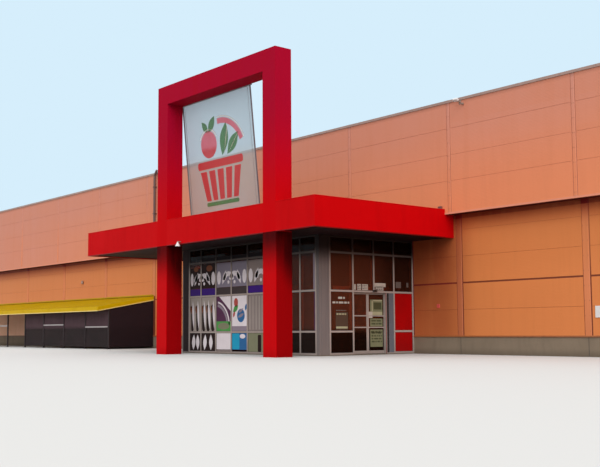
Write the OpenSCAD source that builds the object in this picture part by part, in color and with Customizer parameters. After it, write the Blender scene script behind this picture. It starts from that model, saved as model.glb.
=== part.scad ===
// Supermarket hall with a glazed entrance, a canopy, a portal frame and a trolley lean-to.
// All sizes are millimetres of a 1:2 scale model: real sizes are twice these.
// X runs along the front to the right, Y runs into the building, Z is up.
// The origin is on the ground, on the front wall's outer face, at the canopy's middle.

/* [Hall] */
// Spacing of the wall's vertical joints
bay = 3000; // [2400:50:3050]
// Whole bays covered by the canopy
canopy_bays = 3; // [3:2:5]
// Whole bays each side of the canopy
side_bays = 5; // [4:1:5]
// Whole bays from front to rear
depth_bays = 8; // [5:1:9]
// Thickness of the wall panels
wall_t = 75; // [50:1:120]
// Thickness of the floor above the ground
floor_t = 20; // [10:1:30]
// Height of the concrete plinth
plinth_h = 370; // [250:5:450]
// Thickness of the concrete plinth
plinth_t = 90; // [80:1:150]

/* [Upper band] */
// How far the upper band stands proud of the wall
band_out = 263; // [200:1:320]
// Thickness of the upper band's panels
band_t = 50; // [30:1:70]
// Height of the upper band's lower edge
band_z = 2885; // [2800:5:2950]
// Height of the upper band
band_h = 2347; // [2100:1:2600]
// Thickness of the closing strip under the band
soffit_t = 15; // [8:1:30]
// Height of the parapet above the roof
parapet_h = 300; // [200:5:400]
// Thickness of the roof deck
deck_t = 100; // [60:1:140]
// Height of the parapet's coping
coping_h = 20; // [10:1:40]
// How far the coping laps past the band each side
coping_lap = 12; // [6:1:30]

/* [Joint covers] */
// Width of the wall's vertical joint covers
wall_cover_w = 136; // [60:1:160]
// Width of the upper band's vertical joint covers
band_cover_w = 74; // [40:1:120]
// Thickness of the joint covers
cover_t = 8; // [4:1:14]

/* [Canopy] */
// Distance of the canopy's ends from the bay lines beside them
canopy_gap = 130; // [80:5:200]
// How far the canopy's front stands out from the wall
canopy_out = 3837; // [3700:1:4200]
// Height of the canopy fascia's lower edge
fascia_z = 2408; // [2300:1:2450]
// Height of the canopy fascia
fascia_h = 572; // [520:1:650]
// Thickness of the canopy fascia
fascia_t = 100; // [60:1:160]
// How far the ceiling lies above the fascia's lower edge
ceiling_up = 20; // [10:1:60]
// Thickness of the canopy's ceiling
ceiling_t = 30; // [15:1:60]
// Height of the canopy roof below the fascia's top
canopy_deck_down = 220; // [180:5:260]
// Thickness of the canopy roof
canopy_deck_t = 60; // [30:1:90]

/* [Portal frame] */
// Width of the portal frame
portal_w = 4290; // [3900:10:4500]
// Distance of the portal's middle to the right of the canopy's middle
portal_x = 1084; // [800:1:1100]
// Height of the portal frame
portal_h = 6044; // [5700:1:6400]
// Width of a portal leg
leg_w = 400; // [300:5:500]
// Depth of a portal leg
leg_d = 404; // [300:1:450]
// Height of the portal's beam
beam_h = 425; // [300:1:500]

/* [Sign panel] */
// Width of the glass sign panel
sign_w = 2555; // [2000:5:2800]
// How far the panel's left edge lies behind the left leg
sign_lap = 25; // [0:1:60]
// Thickness of the glass sign panel
sign_t = 16; // [8:1:24]
// Lean of the panel's top towards the street, in degrees
sign_lean = 5.7; // [4:0.1:6.5]
// Width of the panel's edge profiles
sign_edge_w = 16; // [10:1:40]
// Depth of the panel's edge profiles
sign_edge_d = 28; // [26:1:60]
// Gap between the portal's rear face and the panel's head
sign_off = 2; // [1:1:8]
// Size of the rail at the panel's head
sign_rail = 60; // [44:1:80]

/* [Vestibule] */
// Distance of the vestibule's right side to the right of the canopy's middle
vest_right = 3192; // [3000:1:3300]
// Distance of the vestibule's left side to the left of the canopy's middle
vest_left = 1735; // [1600:1:1900]
// How far the vestibule stands out from the wall
vest_out = 2710; // [2600:1:2800]
// Spacing of the mullions
glaze_bay = 594; // [560:1:620]
// Face width of mullions and transoms
bar_w = 36; // [24:1:50]
// Depth of mullions and transoms behind the glass
bar_d = 60; // [40:1:90]
// Thickness of the cover caps in front of the glass
cap_t = 12; // [6:1:20]
// Thickness of the glass
glass_t = 14; // [8:1:20]
// Height of the low transom's middle
low_transom_z = 483; // [400:1:560]
// Height of the door head's middle
door_head_z = 1305; // [1200:1:1400]
// Height of the high transom's middle
high_transom_z = 2085; // [1900:1:2150]
// Width of the clad corner posts
corner_w = 274; // [200:1:320]
// Thickness of the clad corner posts
corner_t = 86; // [86:1:100]

/* [Sliding doors] */
// Clear width of a doorway
door_w = 944; // [900:1:960]
// Thickness of a door leaf
leaf_t = 24; // [16:1:30]
// Face width of a leaf's stiles
stile_w = 30; // [20:1:44]
// Height of a leaf's bottom rail
bottom_rail_h = 60; // [40:1:90]
// Height of a leaf's lower middle rail
rail_low_z = 555; // [480:1:620]
// Height of a leaf's upper middle rail
rail_high_z = 794; // [700:1:860]
// Height of a leaf's middle rails
mid_rail_h = 22; // [14:1:32]
// Thickness of a leaf's glass
leaf_glass_t = 8; // [6:1:12]
// Overlap of a closed leaf with the jamb beside it
leaf_lap = 24; // [16:1:30]
// Running clearance round a leaf
run_gap = 6; // [5:1:8]
// Length of a leaf's hangers under the door gear
hanger_w = 60; // [30:1:90]
// Height of the door gear's casing
header_h = 120; // [80:1:160]

/* [Lean-to] */
// Whole bays between the canopy's bay line and the lean-to
lean_skip = 1; // [1:1:2]
// How far the lean-to's roof stands out from the wall
lean_out = 1880; // [1700:5:2100]
// Height of the lean-to's eave fascia's lower edge
lean_eave_z = 1110; // [1000:5:1200]
// Height of the lean-to's roof at the wall
lean_top_z = 1575; // [1500:5:1700]
// Height of the lean-to's fascia boards
lean_fascia_h = 125; // [80:1:160]
// Thickness of the lean-to's fascia boards
lean_fascia_t = 20; // [10:1:30]
// Height of the lean-to's ribbed roof sheet
lean_sheet_t = 24; // [16:1:36]
// Thickness of the roof sheet's metal
lean_metal_t = 4; // [3:1:8]
// Spacing of the roof sheet's ribs
rib_pitch = 165; // [110:1:200]
// Width of a rib at its foot
rib_foot_w = 70; // [54:1:90]
// Width of a rib at its top
rib_top_w = 40; // [20:1:50]
// Spacing of the lean-to's posts
post_pitch = 1446; // [1380:1:1480]
// Distance of the lean-to's posts from the wall
post_out = 1500; // [1400:5:1600]
// Size of the lean-to's posts
post_s = 40; // [30:1:60]
// Height of the lean-to's front beam
lean_beam_h = 60; // [40:1:80]
// Height of the lean-to's rafters
rafter_h = 50; // [36:1:60]
// Number of bays closed by screens
screen_bays = 4; // [2:1:6]
// Thickness of the screens
screen_t = 10; // [6:1:16]
// Height of the screens above the ground
screen_up = 60; // [40:1:120]

/* [Hidden] */

// Clearance between two solids of one node that only touch in the real building
seat = 0.3;
// How far a cut reaches past the faces that it opens
cut = 1;

wall_paint = [0.80, 0.45, 0.27];
band_paint = [0.84, 0.52, 0.42];
frame_metal = [0.62, 0.59, 0.58];
dark_glass = [0.25, 0.15, 0.15];

bay_count = canopy_bays + 2 * side_bays;
hall_w = bay_count * bay;
hall_d = depth_bays * bay;
half_w = hall_w / 2;
canopy_w = canopy_bays * bay - 2 * canopy_gap;
band_half = half_w + band_out;
parapet_z = band_z + band_h;
deck_z = parapet_z - parapet_h - deck_t;

fascia_top = fascia_z + fascia_h;
ceiling_z = fascia_z + ceiling_up;
canopy_deck_z = fascia_top - canopy_deck_down - canopy_deck_t;

left_leg_x = portal_x - portal_w / 2;
right_leg_x = portal_x + portal_w / 2 - leg_w;
beam_z = portal_h - beam_h;
leg_rear = leg_d - canopy_out;
sign_x = left_leg_x + leg_w - sign_lap;

open_left = corner_t - vest_left;
open_right = vest_right - corner_t;

glass_in = cap_t + glass_t;
frame_in = glass_in + bar_d;
head_low = door_head_z - bar_w / 2;
// The doorway starts behind this mullion of a vestibule side, counted from the wall
door_mullion = 3;
door_front = bar_w / 2 - door_mullion * glaze_bay;
door_rear = door_front + door_w;
leaf_w = door_w / 2 + leaf_lap;
leaf_z = floor_t + run_gap;
leaf_h = head_low - run_gap - leaf_z;
leaf_in = frame_in + run_gap;
door_mid = (door_front + door_rear) / 2;
front_leaf_x = door_mid - run_gap / 2 - leaf_w;
rear_leaf_x = door_mid + run_gap / 2;

lean_left = -half_w;
lean_end = (canopy_bays / 2 + lean_skip) * bay;
lean_len = half_w - lean_end;
lean_slope = (lean_top_z - lean_eave_z - lean_fascia_h) / lean_out;

function lean_roof_z(out) = lean_top_z - lean_slope * out;

// A box from its lowest corner to its highest corner
module span(low, high) {
    translate(low) cube(high - low);
}

// Extrudes an [X, Y] outline from one height to another
module upright(z_low, z_high) {
    translate([0, 0, z_low]) linear_extrude(z_high - z_low) children();
}

// A bar grid in the XZ plane: uprights between two heights, and transoms between the end uprights
module bar_grid(xs, zs, z_low, z_high, depth) {
    last = xs[len(xs) - 1];
    for (x = xs) {
        span([x - bar_w / 2, 0, z_low], [x + bar_w / 2, depth, z_high]);
    }
    for (z = zs) {
        span([xs[0], 0, z - bar_w / 2], [last, depth, z + bar_w / 2]);
    }
}

// The mullions behind the glass and the caps in front of it, from the glazing's outer face
module curtain(xs, zs, z_low, z_high) {
    bar_grid(xs, zs, z_low, z_high, cap_t);
    translate([0, glass_in, 0]) bar_grid(xs, zs, z_low, z_high, bar_d);
}

// Turns a front made in the XZ plane into the right side: its X becomes the place along Y
module on_right_side() {
    translate([vest_right, 0, 0]) rotate([0, 0, 90]) children();
}

// The same, mirrored onto the left side
module on_left_side() {
    translate([-vest_left, 0, 0]) mirror([1, 0, 0]) rotate([0, 0, 90]) children();
}

module floor_slab() {
    color("dimgray") {
        span([-vest_left, -vest_out, 0], [vest_right, 0, floor_t]);
        span([open_left, 0, 0], [open_right, plinth_t, floor_t]);
        span([plinth_t - half_w, plinth_t + seat, 0],
             [half_w - plinth_t, hall_d - plinth_t, floor_t]);
    }
}

module plinth() {
    color("gray") {
        span([-half_w, 0, 0], [open_left, plinth_t, plinth_h]);
        span([open_right, 0, 0], [half_w, plinth_t, plinth_h]);
        for (x = [-half_w, half_w - plinth_t]) {
            span([x, plinth_t + seat, 0], [x + plinth_t, hall_d - plinth_t - seat, plinth_h]);
        }
        span([-half_w, hall_d - plinth_t, 0], [half_w, hall_d, plinth_h]);
    }
}

module front_wall_left() {
    color(wall_paint) span([-half_w, 0, plinth_h], [open_left, wall_t, deck_z]);
}

module front_wall_right() {
    color(wall_paint) span([open_right, 0, plinth_h], [half_w, wall_t, deck_z]);
}

module front_wall_over_entrance() {
    color(wall_paint) span([open_left, 0, ceiling_z], [open_right, wall_t, deck_z]);
}

module left_wall() {
    color(wall_paint)
        span([-half_w, wall_t, plinth_h], [wall_t - half_w, hall_d - wall_t, deck_z]);
}

module right_wall() {
    color(wall_paint)
        span([half_w - wall_t, wall_t, plinth_h], [half_w, hall_d - wall_t, deck_z]);
}

module rear_wall() {
    color(wall_paint)
        span([-half_w, hall_d - wall_t, plinth_h], [half_w, hall_d, deck_z]);
}

module upper_band_front() {
    color(band_paint)
        span([-band_half, -band_out, band_z], [band_half, band_t - band_out, parapet_z]);
}

module upper_band_rear() {
    color(band_paint)
        span([-band_half, hall_d + band_out - band_t, band_z],
             [band_half, hall_d + band_out, parapet_z]);
}

module upper_band_left() {
    color(band_paint)
        span([-band_half, band_t - band_out, band_z],
             [band_t - band_half, hall_d + band_out - band_t, parapet_z]);
}

module upper_band_right() {
    color(band_paint)
        span([band_half - band_t, band_t - band_out, band_z],
             [band_half, hall_d + band_out - band_t, parapet_z]);
}

module overhang_soffit() {
    z = [band_z, band_z + soffit_t];
    inner = band_half - band_t;
    front = band_t - band_out;
    rear = hall_d + band_out - band_t;
    color([0.45, 0.28, 0.22]) {
        span([-inner, front, z[0]], [inner, 0, z[1]]);
        span([-inner, hall_d, z[0]], [inner, rear, z[1]]);
        for (x = [-inner, half_w]) {
            span([x, seat, z[0]], [x + inner - half_w, hall_d - seat, z[1]]);
        }
    }
}

module parapet_coping() {
    low = parapet_z;
    high = parapet_z + coping_h;
    out = band_half + coping_lap;
    in = band_half - band_t - coping_lap;
    front = -band_out - coping_lap;
    rear = hall_d + band_out + coping_lap;
    step = band_t + 2 * coping_lap;
    color([0.58, 0.48, 0.44]) {
        span([-out, front, low], [out, front + step, high]);
        span([-out, rear - step, low], [out, rear, high]);
        for (x = [-out, in]) {
            span([x, front + step + seat, low], [x + step, rear - step - seat, high]);
        }
    }
}

module roof_deck() {
    inner = band_half - band_t;
    color([0.45, 0.45, 0.46])
        span([-inner, band_t - band_out, deck_z],
             [inner, hall_d + band_out - band_t, deck_z + deck_t]);
}

// Bay lines, counted from the hall's left end
function bay_x(i) = -half_w + i * bay;

// True where a bay line of the front is clear of the entrance
function front_clear(x) = x < -vest_left - wall_cover_w || x > vest_right + wall_cover_w;

// An upright joint cover on a wall in the XZ plane, with its edges folded back to the wall
module joint_cover(w, z_low, z_high) {
    half = w / 2;
    upright(z_low, z_high)
        polygon([[-half, 0], [cover_t - half, -cover_t], [half - cover_t, -cover_t], [half, 0]]);
}

// The covers of the rear and of both sides, at a distance out from the lower wall
module far_covers(out, w, z_low, z_high) {
    for (i = [1 : bay_count - 1]) {
        translate([bay_x(i), hall_d + out, 0]) rotate([0, 0, 180]) joint_cover(w, z_low, z_high);
    }
    for (i = [1 : depth_bays - 1]) {
        translate([half_w + out, i * bay, 0]) rotate([0, 0, 90]) joint_cover(w, z_low, z_high);
        translate([-half_w - out, i * bay, 0]) rotate([0, 0, -90]) joint_cover(w, z_low, z_high);
    }
}

// The front's covers stop under the lean-to's roof and start again above it
module front_wall_cover(x) {
    beside = x > wall_cover_w / 2 - lean_end;
    translate([x, 0, 0]) {
        joint_cover(wall_cover_w, beside ? plinth_h : lean_top_z, band_z);
        if (x < -lean_end - wall_cover_w / 2) {
            joint_cover(wall_cover_w, plinth_h, under_roof(cover_t) - rafter_h - seat);
        }
    }
}

module wall_joint_covers() {
    color([0.76, 0.42, 0.25]) {
        for (i = [1 : bay_count - 1]) {
            if (front_clear(bay_x(i))) front_wall_cover(bay_x(i));
        }
        far_covers(0, wall_cover_w, plinth_h, band_z);
    }
}

module band_joint_covers() {
    color([0.80, 0.49, 0.40]) {
        for (i = [1 : bay_count - 1]) {
            over_canopy = abs(bay_x(i)) < (canopy_w + band_cover_w) / 2;
            translate([bay_x(i), -band_out, 0])
                joint_cover(band_cover_w, over_canopy ? fascia_top : band_z, parapet_z);
        }
        far_covers(band_out, band_cover_w, band_z, parapet_z);
    }
}

module portal_leg(x) {
    span([x, -canopy_out, 0], [x + leg_w, leg_rear, portal_h]);
}

module portal_left_leg() {
    color("crimson") portal_leg(left_leg_x);
}

module portal_right_leg() {
    color("crimson") portal_leg(right_leg_x);
}

module portal_beam() {
    color("crimson")
        span([left_leg_x + leg_w, -canopy_out, beam_z], [right_leg_x, leg_rear, portal_h]);
}

module canopy_front_fascia() {
    stretches = [
        [-canopy_w / 2, left_leg_x], [left_leg_x + leg_w, right_leg_x],
        [right_leg_x + leg_w, canopy_w / 2]
    ];
    color("red")
        for (s = stretches) {
            span([s[0], -canopy_out, fascia_z], [s[1], fascia_t - canopy_out, fascia_top]);
        }
}

// The side fascias run back under the overhang to the wall, and above it to the band
module canopy_side_fascias() {
    front = fascia_t - canopy_out;
    profile = [
        [front, fascia_z], [0, fascia_z], [0, band_z], [-band_out, band_z],
        [-band_out, fascia_top], [front, fascia_top]
    ];
    color("red")
        for (x = [-canopy_w / 2, canopy_w / 2 - fascia_t]) {
            translate([x, 0, 0]) rotate([90, 0, 90]) linear_extrude(fascia_t) polygon(profile);
        }
}

module canopy_sheet(low, high) {
    half = canopy_w / 2 - fascia_t;
    difference() {
        span([-half, fascia_t - canopy_out, low], [half, 0, high]);
        for (x = [left_leg_x, right_leg_x]) portal_leg(x);
    }
}

module canopy_roof() {
    color([0.40, 0.40, 0.42]) canopy_sheet(canopy_deck_z, canopy_deck_z + canopy_deck_t);
}

module canopy_ceiling() {
    color([0.13, 0.11, 0.11]) canopy_sheet(ceiling_z, ceiling_z + ceiling_t);
}

// Cuts a leaning sheet level at the canopy roof and at the head rail
module sign_slab(x, w, t) {
    foot = canopy_deck_z + canopy_deck_t;
    rise = beam_z - foot;
    head_y = leg_rear + sign_edge_d / 2 + sign_off;
    foot_y = head_y + rise * tan(sign_lean);
    reach = rise + 2 * sign_rail;
    intersection() {
        translate([x, foot_y, foot]) rotate([sign_lean, 0, 0])
            translate([0, -t / 2, -sign_rail]) cube([w, t, reach]);
        span([x, leg_rear, foot], [x + w, foot_y + sign_rail, beam_z]);
    }
}

module sign_panel() {
    color([0.72, 0.80, 0.82])
        sign_slab(sign_x + sign_edge_w, sign_w - 2 * sign_edge_w, sign_t);
}

module sign_frame() {
    color([0.25, 0.25, 0.28]) {
        for (x = [sign_x, sign_x + sign_w - sign_edge_w]) {
            sign_slab(x, sign_edge_w, sign_edge_d);
        }
        span([sign_x, leg_rear, beam_z],
             [sign_x + sign_w, leg_rear + sign_rail, beam_z + sign_rail]);
    }
}

front_bays = floor((vest_right + vest_left - corner_w - bar_w) / glaze_bay);
front_xs = concat(
    [corner_w - vest_left + bar_w / 2],
    [for (i = [front_bays : -1 : 1]) vest_right - i * glaze_bay],
    [vest_right - corner_t - bar_w / 2]
);
all_zs = [floor_t + bar_w / 2, low_transom_z, door_head_z, high_transom_z, ceiling_z - bar_w / 2];
upper_zs = [door_head_z, high_transom_z, ceiling_z - bar_w / 2];
lower_zs = [floor_t + bar_w / 2, low_transom_z];

module vestibule_front_frame() {
    color(frame_metal)
        translate([0, -vest_out, 0]) curtain(front_xs, all_zs, floor_t, ceiling_z);
}

corner_rear = corner_w - vest_out;
side_xs = concat(
    [corner_rear + bar_w / 2], [for (i = [door_mullion : -1 : 1]) -i * glaze_bay], [-bar_w / 2]
);

// One side of the vestibule as three frames: over the doorway, in front of it and behind it
module side_frame() {
    top = head_low - seat;
    jamb = [door_rear, -glaze_bay + bar_w / 2];
    last = len(side_xs) - 1;
    curtain(side_xs, upper_zs, head_low, ceiling_z);
    curtain([side_xs[0], side_xs[1]], lower_zs, floor_t, top);
    curtain([side_xs[last - 1], side_xs[last]], lower_zs, floor_t, top);
    span([jamb[0], 0, floor_t], [jamb[1], cap_t, top]);
    span([jamb[0], glass_in, floor_t], [jamb[1], frame_in, top]);
}

module vestibule_right_frame() {
    color(frame_metal) on_right_side() side_frame();
}

module vestibule_left_frame() {
    color(frame_metal) on_left_side() side_frame();
}

module side_glass() {
    span([corner_rear, cap_t, head_low], [0, glass_in, ceiling_z]);
    span([corner_rear, cap_t, floor_t], [door_front, glass_in, head_low - seat]);
}

module vestibule_glass() {
    color(dark_glass) {
        span([corner_w - vest_left, cap_t - vest_out, floor_t],
             [vest_right - corner_t, glass_in - vest_out, ceiling_z]);
        on_right_side() side_glass();
        on_left_side() side_glass();
    }
}

module corner_posts() {
    side = [vest_right - corner_t, -vest_out];
    left = -vest_left;
    color([0.47, 0.44, 0.43]) {
        span([side[0], side[1], floor_t], [vest_right, corner_rear, ceiling_z]);
        upright(floor_t, ceiling_z)
            polygon([
                [left, -vest_out], [left + corner_w, -vest_out],
                [left + corner_w, corner_t - vest_out], [left + corner_t, corner_t - vest_out],
                [left + corner_t, corner_rear], [left, corner_rear]
            ]);
    }
}

module side_infill() {
    span([door_rear, cap_t, floor_t], [0, glass_in, head_low - seat]);
}

module infill_panels() {
    color([0.70, 0.02, 0.04]) {
        on_right_side() side_infill();
        on_left_side() side_infill();
    }
}

// The casing of the door gear, above the leaves and along their whole travel
module header() {
    front = door_front - leaf_w;
    rear = door_rear + leaf_w;
    depth = leaf_t + 2 * run_gap;
    span([front, frame_in, head_low], [rear, frame_in + depth, head_low + header_h]);
}

module door_headers() {
    color([0.55, 0.53, 0.52]) {
        on_right_side() header();
        on_left_side() header();
    }
}

// A leaf's panes: the heights between its rails
pane_zs = [
    [leaf_z + bottom_rail_h, rail_low_z], [rail_low_z + mid_rail_h, rail_high_z],
    [rail_high_z + mid_rail_h, leaf_z + leaf_h - stile_w]
];

// A leaf hangs from the door gear by two hangers on its head
module leaf_frame(x) {
    head = leaf_z + leaf_h;
    for (hx = [x + stile_w, x + leaf_w - stile_w - hanger_w]) {
        span([hx, leaf_in, head - seat], [hx + hanger_w, leaf_in + leaf_t, head_low - seat]);
    }
    difference() {
        span([x, leaf_in, leaf_z], [x + leaf_w, leaf_in + leaf_t, head]);
        for (p = pane_zs) {
            span([x + stile_w, leaf_in - cut, p[0]],
                 [x + leaf_w - stile_w, leaf_in + leaf_t + cut, p[1]]);
        }
    }
}

module leaf_glass(x) {
    y = leaf_in + (leaf_t - leaf_glass_t) / 2;
    for (p = pane_zs) {
        span([x + stile_w, y, p[0]], [x + leaf_w - stile_w, y + leaf_glass_t, p[1]]);
    }
}

module right_door_front_leaf() {
    color(frame_metal) on_right_side() leaf_frame(front_leaf_x);
}

module right_door_front_glass() {
    color(dark_glass) on_right_side() leaf_glass(front_leaf_x);
}

module right_door_rear_leaf() {
    color(frame_metal) on_right_side() leaf_frame(rear_leaf_x);
}

module right_door_rear_glass() {
    color(dark_glass) on_right_side() leaf_glass(rear_leaf_x);
}

module left_door_front_leaf() {
    color(frame_metal) on_left_side() leaf_frame(front_leaf_x);
}

module left_door_front_glass() {
    color(dark_glass) on_left_side() leaf_glass(front_leaf_x);
}

module left_door_rear_leaf() {
    color(frame_metal) on_left_side() leaf_frame(rear_leaf_x);
}

module left_door_rear_glass() {
    color(dark_glass) on_left_side() leaf_glass(rear_leaf_x);
}

// Extrudes a [Y, Z] outline along X, from one X to another
module along_x(x_low, x_high, outline) {
    translate([x_low, 0, 0]) rotate([90, 0, 90]) linear_extrude(x_high - x_low) polygon(outline);
}

// The ribbed sheet's section in the XZ plane, with its underside at Z 0
module ribbed_section(x_low, x_high) {
    rise = lean_sheet_t - lean_metal_t;
    rib = [[-rib_foot_w / 2, 0], [-rib_top_w / 2, rise], [rib_top_w / 2, rise], [rib_foot_w / 2, 0]];
    ribs = floor((x_high - x_low - rib_foot_w) / rib_pitch);
    first = (x_low + x_high - ribs * rib_pitch) / 2;
    under = concat(
        [[x_low, 0]], [for (i = [0 : ribs], p = rib) p + [first + i * rib_pitch, 0]], [[x_high, 0]]
    );
    over = [for (i = [len(under) - 1 : -1 : 0]) under[i] + [0, lean_metal_t]];
    polygon(concat(under, over));
}

// The sheet lies on the rafters, cut upright at the eave board and at the wall
module lean_to_roof() {
    tilt = atan(lean_slope);
    eave = lean_fascia_t - lean_out;
    ends = [lean_left + lean_fascia_t, -lean_end - lean_fascia_t];
    color("gold")
        intersection() {
            translate([0, 0, under_roof(0)]) rotate([90 + tilt, 0, 0])
                translate([0, 0, -lean_sheet_t]) linear_extrude(lean_out + 2 * lean_sheet_t)
                    scale([1, cos(tilt)]) ribbed_section(ends[0], ends[1]);
            span([ends[0] - cut, eave, 0], [ends[1] + cut, 0, lean_top_z + cut]);
        }
}

module lean_to_fascia() {
    inner = lean_fascia_t - lean_out;
    rake = [
        [inner, lean_roof_z(-inner) - lean_fascia_h], [0, lean_top_z - lean_fascia_h],
        [0, lean_top_z], [inner, lean_roof_z(-inner)]
    ];
    color("goldenrod") {
        span([lean_left, -lean_out, lean_eave_z],
             [-lean_end, inner, lean_eave_z + lean_fascia_h]);
        along_x(lean_left, lean_left + lean_fascia_t, rake);
        along_x(-lean_end - lean_fascia_t, -lean_end, rake);
    }
}

post_count = floor((lean_len - lean_fascia_t - post_s) / post_pitch) + 1;
first_post = -lean_end - lean_fascia_t - post_s;

function post_x(i) = first_post - i * post_pitch;

// Height of the underside of the roof sheet, at a distance from the wall
function under_roof(out) = lean_roof_z(out) - lean_sheet_t;

post_rear = post_out - post_s;
beam_low = under_roof(post_out) - rafter_h - lean_beam_h;

module lean_to_posts() {
    eave = lean_out - lean_fascia_t;
    rafter = [
        [-eave, under_roof(eave) - rafter_h], [0, under_roof(0) - rafter_h],
        [0, under_roof(0) - seat], [-eave, under_roof(eave) - seat]
    ];
    beam = [
        [-post_out, beam_low], [-post_rear, beam_low],
        [-post_rear, under_roof(post_rear) - rafter_h - seat],
        [-post_out, under_roof(post_out) - rafter_h - seat]
    ];
    color([0.16, 0.13, 0.13]) {
        for (i = [0 : post_count - 1]) {
            x = post_x(i);
            span([x, -post_out, 0], [x + post_s, -post_rear, beam_low - seat]);
            along_x(x, x + post_s, rafter);
        }
        along_x(post_x(post_count - 1), first_post + post_s, beam);
    }
}

module lean_to_screens() {
    y = (screen_t - post_s) / 2 - post_rear;
    end = [
        [-post_rear, screen_up], [0, screen_up], [0, under_roof(0) - rafter_h - seat],
        [-post_rear, under_roof(post_rear) - rafter_h - seat]
    ];
    color([0.45, 0.38, 0.38]) {
        for (i = [0 : screen_bays - 1]) {
            span([post_x(i + 1) + post_s, y - screen_t, screen_up], [post_x(i), y, beam_low]);
        }
        along_x(first_post + post_s - screen_t, first_post + post_s, end);
    }
}

floor_slab();
plinth();
front_wall_left();
front_wall_right();
front_wall_over_entrance();
left_wall();
right_wall();
rear_wall();
upper_band_front();
upper_band_left();
upper_band_right();
upper_band_rear();
overhang_soffit();
parapet_coping();
roof_deck();
wall_joint_covers();
band_joint_covers();
portal_left_leg();
portal_right_leg();
portal_beam();
canopy_front_fascia();
canopy_side_fascias();
canopy_roof();
canopy_ceiling();
sign_panel();
sign_frame();
vestibule_front_frame();
vestibule_right_frame();
vestibule_left_frame();
vestibule_glass();
corner_posts();
infill_panels();
door_headers();
right_door_front_leaf();
right_door_front_glass();
right_door_rear_leaf();
right_door_rear_glass();
left_door_front_leaf();
left_door_front_glass();
left_door_rear_leaf();
left_door_rear_glass();
lean_to_roof();
lean_to_fascia();
lean_to_posts();
lean_to_screens();
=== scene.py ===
"""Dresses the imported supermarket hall: panels, trims, glazing, films, sign, lean-to and finishes."""
import math

import bmesh
import bpy
from mathutils import Matrix, Vector


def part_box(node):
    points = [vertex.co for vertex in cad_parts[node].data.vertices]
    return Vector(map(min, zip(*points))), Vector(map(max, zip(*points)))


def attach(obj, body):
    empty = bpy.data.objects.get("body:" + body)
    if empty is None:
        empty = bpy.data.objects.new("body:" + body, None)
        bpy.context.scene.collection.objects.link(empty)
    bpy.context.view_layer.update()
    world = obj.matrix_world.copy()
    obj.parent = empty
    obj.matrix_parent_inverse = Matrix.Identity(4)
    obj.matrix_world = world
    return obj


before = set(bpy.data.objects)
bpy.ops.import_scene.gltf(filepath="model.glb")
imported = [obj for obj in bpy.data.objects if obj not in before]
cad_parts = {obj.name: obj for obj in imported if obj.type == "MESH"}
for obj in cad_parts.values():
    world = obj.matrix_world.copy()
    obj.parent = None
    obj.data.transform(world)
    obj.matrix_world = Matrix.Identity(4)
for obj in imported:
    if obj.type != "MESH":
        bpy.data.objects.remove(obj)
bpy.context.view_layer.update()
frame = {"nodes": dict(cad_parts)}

bl_info = {
    "name": "Supermarket hall",
    "version": (1, 0, 0),
    "blender": (4, 5, 0),
    "location": "View3D > Sidebar > Hall",
    "description": "Panels, trims, glazing, sign and finishes of a 1:2 supermarket hall",
    "category": "Object",
}

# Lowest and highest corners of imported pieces, and places taken from them, in metres
WALL_LOW, WALL_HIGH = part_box("plinth")
BAND_LOW, BAND_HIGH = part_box("upper_band_front")
POST_LOW, POST_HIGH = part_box("corner_posts")
CANOPY_LOW, CANOPY_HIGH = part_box("canopy_side_fascias")
DECK_LOW, DECK_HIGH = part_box("canopy_roof")
SOFFIT_LOW, SOFFIT_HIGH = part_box("canopy_ceiling")
LEFT_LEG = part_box("portal_left_leg")
RIGHT_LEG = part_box("portal_right_leg")
SIGN_LOW, SIGN_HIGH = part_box("sign_panel")
ROOF_LOW, ROOF_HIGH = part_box("roof_deck")
SLOPE_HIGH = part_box("lean_to_roof")[1]
EAVE_LOW, EAVE_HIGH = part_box("lean_to_fascia")
PLINTH_TOP = WALL_HIGH.z
FASCIA_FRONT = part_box("canopy_front_fascia")[0].y
CEILING_Z = SOFFIT_LOW.z
BAND_OUT = -BAND_LOW.y

# Sizes of the part's source that no box gives
BAY = 3.0
COVER_HALF, BAND_COVER_HALF = 0.068, 0.037
FLOOR_Z = 0.020
POST_WIDE, POST_DEEP = 0.274, 0.086
BAR, CAP = 0.036, 0.012
PANE_PITCH = 0.594
SIGN_THICK = 0.016

# Heights of the joints between the courses of panels, and half of each joint's gap
WALL_COURSES = ((PLINTH_TOP, 0.006), (0.919, 0.002), (1.4685, 0.017), (2.019, 0.002),
                (2.568, 0.002), (BAND_LOW.z, 0.0))
BAND_COURSES = ((BAND_LOW.z, 0.006), (3.565, 0.002), (4.105, 0.002), (4.660, 0.002),
                (BAND_HIGH.z, 0.003))

# Middles of the vestibule's bars: along its front, along its sides, and up
FRONT_XS = [POST_LOW.x + POST_WIDE + BAR / 2,
            *[POST_HIGH.x - PANE_PITCH * i for i in range(7, 0, -1)],
            POST_HIGH.x - POST_DEEP - BAR / 2]
SIDE_XS = [POST_LOW.y + POST_WIDE + BAR / 2, *[-PANE_PITCH * i for i in (3, 2, 1)], -BAR / 2]
PANE_ZS = [FLOOR_Z + BAR / 2, 0.483, 1.305, 2.085, CEILING_Z - BAR / 2]


def linear(red, green, blue):
    """A colour as it looks on a screen, each part from 0 to 255, in Blender's linear values."""
    parts = [part / 255 for part in (red, green, blue)]
    return tuple(p / 12.92 if p <= 0.04 else ((p + 0.055) / 1.055) ** 2.4 for p in parts) + (1.0,)


def darker(tone, share):
    return tuple(part * share for part in tone[:3]) + (1.0,)


def colour(name, text, rgb):
    return bpy.props.FloatVectorProperty(
        name=name, description=text, subtype="COLOR", size=4, min=0, max=1, default=linear(*rgb))


def length(name, text, value):
    return bpy.props.FloatProperty(
        name=name, description=text, unit="LENGTH", min=0.0005, precision=4, default=value)


def factor(name, text, value):
    return bpy.props.FloatProperty(name=name, description=text, min=0, max=4, default=value)


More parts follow.
